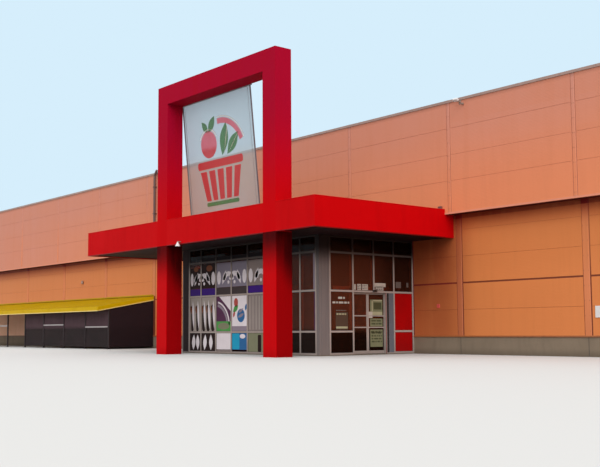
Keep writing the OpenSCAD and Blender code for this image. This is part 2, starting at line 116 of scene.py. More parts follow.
class WallSettings(bpy.types.PropertyGroup):
    wall: colour("Wall", "Paint of the lower wall's panels", (221, 131, 73))
    wall_faded: colour("Faded wall", "The same paint at the far left", (210, 137, 92))
    wall_core: colour("Wall joints", "What shows in the lower wall's joints", (120, 50, 20))
    band: colour("Band", "Paint of the upper band's panels, low down", (227, 136, 94))
    band_faded: colour("Faded band", "The same paint high up and at the far left", (200, 136, 119))
    band_core: colour("Band joints", "What shows in the upper band's joints", (176, 102, 76))
    shade: colour("Shade", "Tone of the wall under the overhang", (140, 15, 1))
    # Painted shadow: the dark line along the wall's top, close under the overhang
    eave: colour("Eave", "Tone of the wall's top, close under the overhang", (112, 4, 0))
    trim: colour("Covers", "Covers on the lower wall's joints", (216, 129, 84))
    canopy_shade: colour("Canopy shade", "Tone of the wall under the canopy", (118, 10, 0))
    # Painted light: a pale tone that brightens the wall's foot where the lean-to's roof shades it
    lean_to_light: colour("Lean-to light", "Painted light under the lean-to's roof", (255, 206, 176))
    concrete: colour("Concrete", "Plinth and floor", (136, 120, 102))
    coping: colour("Coping", "Parapet coping", (176, 143, 131))
    membrane: colour("Membrane", "Roofs of the hall and the canopy", (142, 144, 146))
    skin: length("Skin", "How far a panel's skin stands proud", 0.004)
    gap: length("Side gap", "Gap between a panel and the cover to its right", 0.008)
    open_gap: length("Open gap", "Gap between a panel and the cover to its left", 0.03)
    screw_pitch: length("Screw pitch", "Spacing of the screws up a cover", 0.275)


class CanopySettings(bpy.types.PropertyGroup):
    red: colour("Canopy", "Paint of the canopy's fascias", (198, 2, 8))
    portal: colour("Portal", "Paint of the portal frame, low down", (194, 1, 8))
    portal_high: colour("Portal, high", "The same paint, high up", (157, 5, 44))
    portal_shade: colour("Portal, in shade", "The same paint, just under the canopy", (60, 1, 3))
    # Painted shade: the boards' near-black tone stands in for the deep shade under the canopy
    ceiling: colour("Ceiling", "Boards under the canopy", (34, 16, 17))
    board_pitch: length("Board pitch", "Spacing of the ceiling boards", 0.15)
    cap: length("Edge trim", "Height of the trim on the canopy's edges", 0.012)


class GlazingSettings(bpy.types.PropertyGroup):
    frame: colour("Frames", "Anodised mullions, transoms and door leaves", (178, 162, 154))
    post: colour("Corner posts", "Cladding of the corner posts", (122, 111, 109))
    shade: colour("Frames, in shade", "The frames and posts just under the ceiling", (20, 8, 8))
    tint: colour("Glass", "Tint of the vestibule's glass", (196, 118, 88))
    infill: colour("Infill", "Panels beside the doorways", (176, 1, 5))
    gasket: length("Gasket", "Width of the gaskets round the panes", 0.006)
    film: length("Film", "Thickness of the films on the glass", 0.001)


class SignSettings(bpy.types.PropertyGroup):
    glass: colour("Panel", "Frosted glass of the sign", (173, 187, 197))
    glass_low: colour("Panel, low", "The same glass near its foot", (184, 182, 172))
    edge: colour("Edges", "Profiles at the sign's edges", (122, 112, 116))
    pink: colour("Red film, high", "The same film where the sky shows through it", (232, 120, 142))
    red: colour("Red film", "Basket of the sign", (214, 26, 34))
    green: colour("Green film", "Leaves of the sign", (70, 130, 62))
    outline: colour("Pale film", "Outlines of the sign", (226, 214, 206))


class LeanToSettings(bpy.types.PropertyGroup):
    yellow: colour("Yellow", "Paint of the roof sheet", (171, 138, 2))
    fascia: colour("Fascia", "Paint of the fascia boards", (204, 165, 4))
    edge: colour("Edge", "Drip at the lower edge of the fascia boards", (238, 212, 128))
    screen: colour("Screens", "Ribbed plastic of the screens", (96, 72, 78))
    screen_low: colour("Screens, low", "The same plastic near the ground", (32, 34, 30))
    # Painted shade: the end screen by the entrance near black, for the deep shade inside the lean-to
    screen_end_shade: colour("Screens, end", "The same plastic at the end by the entrance", (10, 3, 3))
    steel: colour("Steel", "Posts, rafters and beam", (44, 30, 30))


class StageSettings(bpy.types.PropertyGroup):
    floor: colour("Floor", "Pale floor, as it is seen", (204, 204, 202))
    paving: colour("Paving", "What the floor throws back at the object", (150, 148, 144))
    sky: colour("Backdrop", "Pale backdrop", (214, 238, 252))
    zenith: factor("Top light", "Strength of the light from straight above", 1.35)
    horizon: factor("Side light", "Strength of the light from the horizon", 0.45)
    key_light: factor("Key light", "Strength of the soft lamp from the right", 2.1)


# Directions of ramps and ribs
UP = (0.0, 0.0, 1.0)
ACROSS = (1.0, 0.0, 0.0)
LEFTWARDS = (-1.0, 0.0, 0.0)
INWARDS = (0.0, 1.0, 0.0)

# Roughness of a finish, where it is clean and where its layers cover it
SATIN, METAL, PAPER, MATT = (0.4, 0.55), (0.45, 0.6), (0.5, 0.6), (0.5, 0.65)


class Graph:
    """A node tree that is written down as nodes with their inputs."""

    def __init__(self, tree):
        self.tree = tree

    def add(self, kind, inputs=None, **settings):
        node = self.tree.nodes.new(kind)
        for name, value in settings.items():
            setattr(node, name, value)
        for name, value in (inputs or {}).items():
            self.feed(node.inputs[name], value)
        return node

    def feed(self, socket, value):
        if isinstance(value, bpy.types.NodeSocket):
            self.tree.links.new(value, socket)
        else:
            socket.default_value = value

    def math(self, operation, *values, clamp=False):
        inputs = dict(enumerate(values))
        return self.add("ShaderNodeMath", inputs, operation=operation, use_clamp=clamp).outputs[0]

    def vector(self, operation, *values):
        node = self.add("ShaderNodeVectorMath", dict(enumerate(values)), operation=operation)
        return node.outputs["Value" if operation == "DOT_PRODUCT" else "Vector"]

    def mix(self, share, first, second):
        inputs = {"Factor": share, 6: first, 7: second}
        return self.add("ShaderNodeMix", inputs, data_type="RGBA").outputs[2]

    def noise(self, vector, scale, detail, rough=0.5):
        inputs = {"Vector": vector, "Scale": scale, "Detail": detail, "Roughness": rough}
        return self.add("ShaderNodeTexNoise", inputs).outputs[0]

    def ease(self, value, start, end, low=0.0, high=1.0, soft=False):
        """From low to high, as a value goes from start to end."""
        kind = "SMOOTHSTEP" if soft else "LINEAR"
        inputs = {"Value": value, "From Min": start, "From Max": end, "To Min": low, "To Max": high}
        return self.add("ShaderNodeMapRange", inputs, interpolation_type=kind).outputs[0]

    def seen(self):
        """1 for what the camera sees straight, in a mirror or through glass."""
        path = self.add("ShaderNodeLightPath").outputs
        straight = self.math("MAXIMUM", path["Is Camera Ray"], path["Is Glossy Ray"])
        return self.math("MAXIMUM", straight, path["Is Transmission Ray"])


def draw_blotches(graph, given):
    """Soft patches of a second tone."""
    noise = graph.noise(given["Vector"], given["Scale"], 5.0, 0.6)
    start, end = (graph.math(way, 0.5, given["Spread"]) for way in ("SUBTRACT", "ADD"))
    return graph.ease(noise, start, end)


def draw_streaks(graph, given):
    """Runs of rain water down a wall."""
    scales = {"X": given["Across"], "Y": given["Across"], "Z": given["Down"]}
    scale = graph.add("ShaderNodeCombineXYZ", scales).outputs[0]
    stretched = graph.vector("MULTIPLY", given["Vector"], scale)
    return graph.ease(graph.noise(stretched, 1.0, 4.0, 0.65), 0.48, 0.72)


def draw_batches(graph, given):
    """One tone for each panel, as panels of different batches have."""
    moved = graph.vector("SUBTRACT", given["Vector"], given["Origin"])
    cell = graph.vector("FLOOR", graph.vector("DIVIDE", moved, given["Cell"]))
    return graph.add("ShaderNodeTexWhiteNoise", {"Vector": cell}).outputs[0]


def draw_ramp(graph, given):
    """From 0 at one distance along a direction to 1 at another."""
    along = graph.vector("DOT_PRODUCT", given["Vector"], given["Direction"])
    return graph.ease(along, given["Start"], given["End"], soft=True)


def draw_shelter(graph, given):
    """From Start to End up the hall's front, within Half of Middle along it."""
    place = graph.add("ShaderNodeSeparateXYZ", {0: given["Vector"]}).outputs
    aside = graph.math("ABSOLUTE", graph.math("SUBTRACT", place["X"], given["Middle"]))
    outer, inner = (graph.math(way, given["Half"], given["Soft"]) for way in ("ADD", "SUBTRACT"))
    inside = graph.ease(aside, outer, inner, soft=True)
    raised = graph.ease(place["Z"], given["Start"], given["End"])
    in_front = graph.math("LESS_THAN", place["Y"], 1.0)
    return graph.math("MULTIPLY", graph.math("MULTIPLY", inside, raised), in_front)


def draw_grain(graph, given):
    """Fine unevenness, for a bump."""
    return graph.noise(given["Vector"], given["Scale"], 3.0)


def draw_lines(graph, given):
    """Fine parallel ribs, for a bump or a tone."""
    along = graph.vector("DOT_PRODUCT", given["Vector"], given["Direction"])
    turns = graph.math("DIVIDE", along, given["Pitch"])
    wave = graph.math("SINE", graph.math("MULTIPLY", turns, math.tau))
    return graph.ease(wave, -0.4, 0.4, soft=True)


SHADER_GROUPS = {
    "blotches": (draw_blotches, {"Scale": 1.0, "Spread": 0.2}),
    "streaks": (draw_streaks, {"Across": 7.0, "Down": 0.3}),
    "batches": (draw_batches, {"Origin": (0.0, 0.0, 0.0), "Cell": (1.0, 1.0, 1.0)}),
    "ramp": (draw_ramp, {"Direction": UP, "Start": 0.0, "End": 1.0}),
    "shelter": (draw_shelter, {"Middle": 0.0, "Half": 1.0, "Soft": 0.1, "Start": 0.0, "End": 1.0}),
    "grain": (draw_grain, {"Scale": 60.0}),
    "lines": (draw_lines, {"Direction": UP, "Pitch": 0.05}),
}


def build_shader_groups():
    """Builds the shader groups, each with a Vector input, its own inputs and a Value output."""
    for name, (draw, sockets) in SHADER_GROUPS.items():
        tree = bpy.data.node_groups.new(name, "ShaderNodeTree")
        tree.interface.new_socket("Vector", in_out="INPUT", socket_type="NodeSocketVector")
        for label, value in sockets.items():
            kind = "NodeSocketVector" if isinstance(value, tuple) else "NodeSocketFloat"
            tree.interface.new_socket(label, in_out="INPUT", socket_type=kind).default_value = value
        tree.interface.new_socket("Value", in_out="OUTPUT", socket_type="NodeSocketFloat")
        graph = Graph(tree)
        given = graph.add("NodeGroupInput").outputs
        graph.add("NodeGroupOutput", {"Value": draw(graph, given)})


def patches(tone, share, scale, spread=0.2):
    return "blotches", share, tone, {"Scale": scale, "Spread": spread}


def streaks(tone, share, across, down=0.5):
    return "streaks", share, tone, {"Across": across, "Down": down}


def ramp(tone, share, start, end, direction=UP):
    return "ramp", share, tone, {"Start": start, "End": end, "Direction": direction}


def shelter(tone, share, left, right, soft, start, end):
    reach = {"Middle": (left + right) / 2, "Half": (right - left) / 2, "Soft": soft}
    return "shelter", share, tone, {**reach, "Start": start, "End": end}


def grain(height, scale):
    return "grain", height, {"Scale": scale}


def ribs(height, pitch, direction=UP):
    return "lines", height, {"Pitch": pitch, "Direction": direction}


def finish(name, base, layers, rough=SATIN, bumps=(), shine=0.5, **sockets):
    """A procedural material: a base colour under layers of other tones.

    A layer is (group, share, tone, inputs), and a number as its tone is a share of the base.
    A bump is (group, height in metres, inputs). The roughness goes from the first value to the
    second as the layers add up.
    """
    material = bpy.data.materials.new(name)
    material.use_nodes = True
    graph = Graph(material.node_tree)
    shader = material.node_tree.nodes["Principled BSDF"]
    place = graph.add("ShaderNodeTexCoord").outputs["Object"]

    def mask(kind, inputs):
        tree = bpy.data.node_groups[kind]
        return graph.add("ShaderNodeGroup", {"Vector": place, **inputs}, node_tree=tree).outputs[0]

    tone, cover = tuple(base), 0.0
    for kind, share, over, inputs in layers:
        over = darker(base, over) if isinstance(over, float) else tuple(over)
        part = graph.math("MULTIPLY", mask(kind, inputs), share)
        tone = graph.mix(part, tone, over)
        cover = graph.math("ADD", cover, part, clamp=True)
    graph.feed(shader.inputs["Base Color"], tone)
    graph.feed(shader.inputs["Roughness"], graph.ease(cover, 0.0, 1.0, *rough))
    fed = shader.inputs["Normal"]
    for kind, height, inputs in reversed(bumps):
        bump = graph.add("ShaderNodeBump", {"Height": mask(kind, inputs), "Distance": height})
        graph.feed(fed, bump.outputs[0])
        fed = bump.inputs["Normal"]
    shader.inputs["Specular IOR Level"].default_value = shine
    for label, value in sockets.items():
        shader.inputs[label.replace("_", " ")].default_value = value
    return material


# Finishes of small pieces: colour, scale of the patches, roughness and other values
SMALL_FINISHES = {
    "screw_heads": ((150, 96, 70), 30.0, (0.35, 0.5), {"Metallic": 0.5}),
    "plinth_sealant": ((70, 62, 54), 20.0, (0.6, 0.8), {}),
    "gasket_rubber": ((26, 20, 22), 12.0, (0.6, 0.75), {}),
    "post_panel_paint": ((34, 12, 12), 4.0, PAPER, {"shine": 0.1}),
    "jamb_paint": ((104, 106, 114), 5.0, SATIN, {"shine": 0.25}),
    "notice_white": ((196, 186, 174), 9.0, PAPER, {}),
    "notice_grey": ((104, 92, 86), 9.0, PAPER, {}),
    "notice_olive": ((124, 124, 92), 7.0, PAPER, {}),
    "notice_pale": ((176, 170, 136), 7.0, PAPER, {}),
    "notice_ink": ((70, 72, 44), 9.0, PAPER, {}),
    "poster_brown": ((74, 54, 40), 6.0, PAPER, {}),
    "sensor_plastic": ((22, 20, 22), 15.0, (0.3, 0.4), {}),
    "track_steel": ((150, 148, 144), 8.0, (0.35, 0.5), {"Metallic": 0.7}),
    "rail_white_paint": ((190, 180, 180), 5.0, SATIN, {}),
    "fitting_white": ((226, 222, 220), 12.0, (0.35, 0.45), {}),
    "fitting_grey": ((150, 124, 110), 12.0, SATIN, {}),
    "fitting_reddish": ((112, 66, 60), 12.0, SATIN, {}),
    "plate_pink": ((210, 80, 72), 12.0, SATIN, {}),
    "downpipe_dark": ((92, 62, 56), 8.0, SATIN, {}),
}


def small(name):
    """The finish of a small piece: one colour with soft, darker patches."""
    if name in bpy.data.materials:
        return bpy.data.materials[name]
    rgb, scale, rough, values = SMALL_FINISHES[name]
    return finish(name, linear(*rgb), [patches(0.7, 0.45, scale)], rough, **values)


def at(x=0.0, y=0.0, z=0.0):
    return Matrix.Translation((x, y, z))


def turned(axis, degrees):
    return Matrix.Rotation(math.radians(degrees), 4, axis)


def mesh_of(bm):
    mesh = bpy.data.meshes.new("mesh")
    bm.to_mesh(mesh)
    bm.free()
    return mesh


def boxes(spans, bevel=0.001):
    """Boxes from their lowest to their highest corners, with bevelled edges, as one mesh."""
    bm = bmesh.new()
    for low, high in spans:
        centre = [(a + b) / 2 for a, b in zip(low, high)]
        size = [b - a for a, b in zip(low, high)]
        bmesh.ops.create_cube(bm, size=1, matrix=at(*centre) @ Matrix.Diagonal((*size, 1)))
    bmesh.ops.bevel(bm, geom=bm.edges[:], offset=bevel, segments=1, affect="EDGES")
    return mesh_of(bm)


def placed(mesh, matrix):
    """The mesh moved into place, with its faces still outwards after a mirror."""
    mesh.transform(matrix)
    if matrix.determinant() < 0:
        mesh.flip_normals()
    return mesh


def joined(meshes):
    bm = bmesh.new()
    for mesh in meshes:
        bm.from_mesh(mesh)
        bpy.data.meshes.remove(mesh)
    return mesh_of(bm)


def loft(rings, closed=False):
    """A skin over rings of points, with its ends closed or joined to each other."""
    bm = bmesh.new()
    rings = [[bm.verts.new(point) for point in ring] for ring in rings]
    others = rings[1:] + (rings[:1] if closed else [])
    for ring, other in zip(rings, others):
        for k, corner in enumerate(ring):
            m = (k + 1) % len(ring)
            bm.faces.new((corner, ring[m], other[m], other[k]))
    if not closed:
        bm.faces.new(rings[0])
        bm.faces.new(rings[-1])
    bmesh.ops.recalc_face_normals(bm, faces=bm.faces[:])
    return mesh_of(bm)


def sweep(path, outline, closed=False):
    """Carries an outline of (outwards, upwards) points along a level path, with mitred corners.

    Outwards is to the right of the path's direction.
    """
    points = [Vector(p) for p in path]
    sides = []
    for a, b in zip(points, points[1:] + (points[:1] if closed else [])):
        along = (b - a).normalized()
        sides.append(Vector((along.y, -along.x)))
    sides = [sides[-1 if closed else 0], *sides, sides[-1]]
    rings = []
    for point, before, after in zip(points, sides, sides[1:]):
        mitre = (before + after) / (1 + before.dot(after))
        rings.append([(point.x + mitre.x * out, point.y + mitre.y * out, up) for out, up in outline])
    return loft(rings, closed)


def lathe(profile, segments=20):
    """Turns a profile of (radius, height) points round Z, closed at its ends."""
    angles = [math.tau * i / segments for i in range(segments)]
    return loft([[(r * math.cos(a), r * math.sin(a), z) for a in angles] for r, z in profile])


def cut_outs(outlines, depth=0.001):
    """Flat shapes in the XZ plane, from Y 0 outwards to -depth."""
    faces = (0, -depth)
    return joined([loft([[(x, y, z) for x, z in outline] for y in faces]) for outline in outlines])


def corners_of(low, high):
    """The outline of a rectangle, from its low corner."""
    return [(low[0], low[1]), (high[0], low[1]), (high[0], high[1]), (low[0], high[1])]


def rounded(low, high, radius=0.004, steps=2):
    """The outline of a rectangle with rounded corners."""
    radius = min(radius, (high[0] - low[0]) * 0.49, (high[1] - low[1]) * 0.49)
    points = []
    corners = ((high[0] - radius, high[1] - radius), (low[0] + radius, high[1] - radius),
               (low[0] + radius, low[1] + radius), (high[0] - radius, low[1] + radius))
    for quarter, (x, z) in enumerate(corners):
        for i in range(steps + 1):
            a = math.pi / 2 * (quarter + i / steps)
            points.append((x + radius * math.cos(a), z + radius * math.sin(a)))
    return points


def disc(x, z, radius, squeeze=1.0, steps=28):
    """The outline of a disc, or of an oval that is squeeze times as high as wide."""
    return [(x + radius * math.cos(math.tau * i / steps),
             z + radius * squeeze * math.sin(math.tau * i / steps)) for i in range(steps)]


def arch(x, z, inner, outer, start, end, steps=20):
    """A band round a centre, from one angle to another in degrees."""
    def rim(i, radius):
        a = math.radians(start + (end - start) * i / steps)
        return (x + radius * math.cos(a), z + radius * math.sin(a))

    return [rim(i, outer) for i in range(steps + 1)] + [rim(i, inner) for i in range(steps, -1, -1)]


def leaf(x, z, tall, width, turn, steps=10):
    """The outline of a pointed leaf from its stem, turned by degrees."""
    side = [(tall * i / steps, width / 2 * math.sin(math.pi * i / steps)) for i in range(steps + 1)]
    outline = side + [(a, -b) for a, b in side[-2:0:-1]]
    c, s = math.cos(math.radians(turn)), math.sin(math.radians(turn))
    return [(x + a * c - b * s, z + a * s + b * c) for a, b in outline]


def piece(name, mesh, material, slot, body="building"):
    """A finished piece, in place, that rides on a body."""
    mesh.name = name
    mesh.materials.clear()
    mesh.materials.append(material)
    obj = bpy.data.objects.new(name, mesh)
    bpy.context.scene.collection.objects.link(obj)
    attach(obj, body)


def paint(material, *nodes):
    """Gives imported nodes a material."""
    for node in nodes:
        mesh = frame["nodes"][node].data
        mesh.materials.clear()
        mesh.materials.append(material)


ROW_SOCKETS = {
    "Unit": "NodeSocketGeometry", "Columns": "NodeSocketInt", "Column Step": "NodeSocketVector",
    "Rows": "NodeSocketInt", "Row Step": "NodeSocketVector", "Finish": "NodeSocketMaterial",
}


def build_rows_tree():
    """Repeats the object's own mesh in columns and rows."""
    tree = bpy.data.node_groups.new("repeat_in_rows", "GeometryNodeTree")
    for label, kind in ROW_SOCKETS.items():
        tree.interface.new_socket(label, in_out="INPUT", socket_type=kind)
    tree.interface.new_socket("Mesh", in_out="OUTPUT", socket_type="NodeSocketGeometry")
    graph = Graph(tree)
    given = graph.add("NodeGroupInput").outputs
    made = given["Unit"]
    for count, step in (("Columns", "Column Step"), ("Rows", "Row Step")):
        spacing = {"Count": given[count], "Offset": given[step]}
        line = graph.add("GeometryNodeMeshLine", spacing, mode="OFFSET").outputs[0]
        made = graph.add("GeometryNodeInstanceOnPoints", {"Points": line, "Instance": made}).outputs[0]
    real = graph.add("GeometryNodeRealizeInstances", {"Geometry": made}).outputs[0]
    done = graph.add("GeometryNodeSetMaterial", {"Geometry": real, "Material": given["Finish"]})
    graph.add("NodeGroupOutput", {"Mesh": done.outputs[0]})


def repeated(unit, material, count, step, rows=1, row_step=(0.0, 0.0, 0.0)):
    """The plain mesh that the repeating tree makes from a unit mesh."""
    obj = bpy.data.objects.new("unit", unit)
    bpy.context.scene.collection.objects.link(obj)
    modifier = obj.modifiers.new("rows", "NODES")
    modifier.node_group = bpy.data.node_groups["repeat_in_rows"]
    values = {"Columns": count, "Column Step": [float(s) for s in step],
              "Rows": rows, "Row Step": [float(s) for s in row_step], "Finish": material}
    for socket in modifier.node_group.interface.items_tree:
        if socket.name in values:
            modifier[socket.identifier] = values[socket.name]
    depsgraph = bpy.context.evaluated_depsgraph_get()
    mesh = bpy.data.meshes.new_from_object(obj.evaluated_get(depsgraph), depsgraph=depsgraph)
    obj.modifiers.remove(modifier)
    bpy.data.objects.remove(obj)
    bpy.data.meshes.remove(unit)
    return mesh


SIDES = ("front", "right", "rear", "left")


def facing(side):
    """Turns what is made as a front, with -Y outwards, to a side of the hall.

    Its X then runs along the side.
    """
    return {
        "front": at(),
        "right": at(WALL_HIGH.x) @ turned("Z", 90),
        "rear": at(0, WALL_HIGH.y) @ turned("Z", 180),
        "left": at(WALL_LOW.x, WALL_HIGH.y) @ turned("Z", -90),
    }[side]


def vestibule_side(side):
    """Turns a front to the vestibule's right side, or mirrors it to its left side."""
    right = at(POST_HIGH.x) @ turned("Z", 90)
    if side == "right":
        return right
    return at(POST_LOW.x + POST_HIGH.x) @ Matrix.Diagonal((-1, 1, 1, 1)) @ right


def side_span(side):
    """Where a side of the hall starts and ends along its X."""
    return (0.0, WALL_HIGH.y) if side in ("right", "left") else (WALL_LOW.x, WALL_HIGH.x)


def joint_lines(side, on_wall=False):
    """A side's upright joints. The lower wall has none behind the vestibule."""
    near, far = side_span(side)
    lines = [near + BAY * i for i in range(1, round((far - near) / BAY))]
    return [x for x in lines if not (on_wall and side == "front" and abs(x) < BAY)]


def wall_runs(side):
    """Stretches of equal panels, as (start, bays, width), between the lower wall's covers."""
    width = BAY - 2 * COVER_HALF
    near, far = side_span(side)
    if side != "front":
        return [(near + COVER_HALF, round((far - near) / BAY), width)]
    line = 1.5 * BAY
    bays = round((far - line) / BAY)
    return [
        (near + COVER_HALF, bays, width), (line + COVER_HALF, bays, width),
        (COVER_HALF - line, 1, line - COVER_HALF + POST_LOW.x),
        (POST_HIGH.x, 1, line - COVER_HALF - POST_HIGH.x),
    ]


def band_runs(side):
    """The same for the upper band, whose end panels reach to its corners."""
    near, far = side_span(side)
    inner = round((far - near) / BAY) - 2
    end = BAY + BAND_OUT - 2 * BAND_COVER_HALF
    return [
        (near - BAND_OUT + BAND_COVER_HALF, 1, end),
        (near + BAY + BAND_COVER_HALF, inner, BAY - 2 * BAND_COVER_HALF),
        (far - BAY + BAND_COVER_HALF, 1, end),
    ]


def around_hall(out, closed=False):
    """The hall's outline at a distance outwards, from the entrance's right round to its left."""
    x0, x1, y0, y1 = WALL_LOW.x - out, WALL_HIGH.x + out, -out, WALL_HIGH.y + out
    if closed:
        return corners_of((x0, y0), (x1, y1))
    return [(POST_HIGH.x, y0), (x1, y0), (x1, y1), (x0, y1), (x0, y0), (POST_LOW.x, y0)]


def panel_field(side, runs, courses, proud, settings, material):
    """A wall's panels, as skins with open joints between them."""
    meshes = []
    open_gap = settings.open_gap * (0.5 if proud else 1.0)
    for (low, under), (high, over) in zip(courses, courses[1:]):
        for start, bays, width in runs:
            skin = boxes([((start + open_gap, -settings.skin - proud, low + under),
                           (start + width - settings.gap, 0.001 - proud, high - over))], 0.0015)
            meshes.append(placed(repeated(skin, material, bays, (BAY, 0, 0)), facing(side)))
    return joined(meshes)


def wall_light_and_shade(s):
    """The lower wall's painted light and shade: painted shade darker from 1.4 m up, under the band and under
    the canopy, and painted light under the lean-to.
    """
    lean_to_light_end = -11.9
    return [
        ramp(darker(s.wall, 0.85), 0.4, 1.4, 2.0),
        # Painted shade: the wall darkening up to the overhang
        ramp(s.shade, 0.8, 2.40, 2.92),
        # Painted shadow: a sharp dark line just under the overhang
        ramp(s.eave, 1.0, 2.792, 2.806),
        shelter(s.canopy_shade, 1.0, CANOPY_LOW.x, CANOPY_HIGH.x + 0.15, 0.5, -2.4, 2.4),
        # Painted light on the wall under the lean-to's roof
        shelter(s.lean_to_light, 0.8, EAVE_LOW.x, lean_to_light_end, 0.05, 1.5, 1.4),
    ]


def band_shade(s):
    """The upper band's tones: paler with its height, and a painted shadow just under the coping."""
    return [
        ramp(s.band_faded, 0.9, 3.0, 5.3),
        ramp(darker(s.band_faded, 0.5), 0.6, 5.10, 5.19),
    ]


def panel_paint(level, base, faded, shade):
    """The paint of the wall's or the band's panels, with its weather and its painted light and shade."""
    cell = {"Origin": (WALL_LOW.x, 0.0, PLINTH_TOP), "Cell": (BAY, BAY, 0.55)}
    layers = [
        ramp(faded, 0.8, 2.0, 19.0, LEFTWARDS), *shade, ("batches", 0.14, 0.8, cell),
        streaks(0.72, 0.2, 5.0, 0.35), patches(0.84, 0.3, 0.5, 0.25),
    ]
    bumps = [ribs(0.0006, 0.0275), grain(0.0005, 90.0)]
    return finish(f"{level}_panel_paint", base, layers, (0.5, 0.62), bumps, 0.25)


class HALL_OT_panel_walls(bpy.types.Operator):
    """Panels of the lower wall and of the upper band"""
    bl_idname = "hall.panel_walls"
    bl_label = "Wall panels"

    def execute(self, context):
        s = context.scene.hall_walls
        wall = panel_paint("wall", s.wall, s.wall_faded, wall_light_and_shade(s))
        band = panel_paint("band", s.band, s.band_faded, band_shade(s))
        for side in SIDES:
            low = panel_field(side, wall_runs(side), WALL_COURSES, 0, s, wall)
            high = panel_field(side, band_runs(side), BAND_COURSES, BAND_OUT, s, band)
            piece(f"wall_panels_{side}", low, wall, "wall_panel")
            piece(f"band_panels_{side}", high, band, "band_panel")
        soft = patches(0.7, 0.6, 3.0)
        wall_core = finish("wall_joint_shade", s.wall_core, [soft, *wall_light_and_shade(s)], (0.7, 0.8))
        band_core = finish("band_joint_shade", s.band_core, [soft], (0.7, 0.8))
        paint(wall_core, "front_wall_left", "front_wall_right", "front_wall_over_entrance",
              "left_wall", "right_wall", "rear_wall")
        paint(band_core, *(f"upper_band_{side}" for side in SIDES))
        return {"FINISHED"}


def corner_trims(reach, proud, cover, low, high):
    """The trims on the hall's four upright corners."""
    spans = []
    for x, y in around_hall(0, True):
        out = Vector((1 if x > 0 else -1, 1 if y > 0 else -1))
        corner = Vector((x, y)) + out * proud
        inner, outer = corner - out * reach, corner + out * cover
        spans.append(((min(inner.x, outer.x), min(inner.y, outer.y), low),
                      (max(inner.x, outer.x), max(inner.y, outer.y), high)))
    return boxes(spans, 0.002)


def cover_screws(cover, pitch):
    """Two rows of screws up every joint's cover."""
    inset, margin, flashing = 0.018, 0.1, 0.06
    levels = ((True, COVER_HALF, 0.0, PLINTH_TOP, BAND_LOW.z),
              (False, BAND_COVER_HALF, BAND_OUT, BAND_LOW.z, BAND_HIGH.z))
    meshes = []
    for side in SIDES:
        for on_wall, half, proud, low, high in levels:
            for x in joint_lines(side, on_wall):
                foot = low + margin
                if side == "front" and on_wall and x < EAVE_HIGH.x:
                    foot = SLOPE_HIGH.z + flashing
                elif side == "front" and not on_wall and abs(x) < CANOPY_HIGH.x + half:
                    foot = CANOPY_HIGH.z + flashing
                rows = int((high - margin - foot) / pitch) + 1
                head = lathe([(0.0065, 0.0), (0.0065, 0.002), (0.0035, 0.0035)], 6)
                head = placed(head, at(x - half + inset, -proud - cover, foot) @ turned("X", 90))
                pairs = repeated(head, small("screw_heads"), 2, (2 * (half - inset), 0, 0),
                                 rows, (0, 0, pitch))
                meshes.append(placed(pairs, facing(side)))
    return joined(meshes)


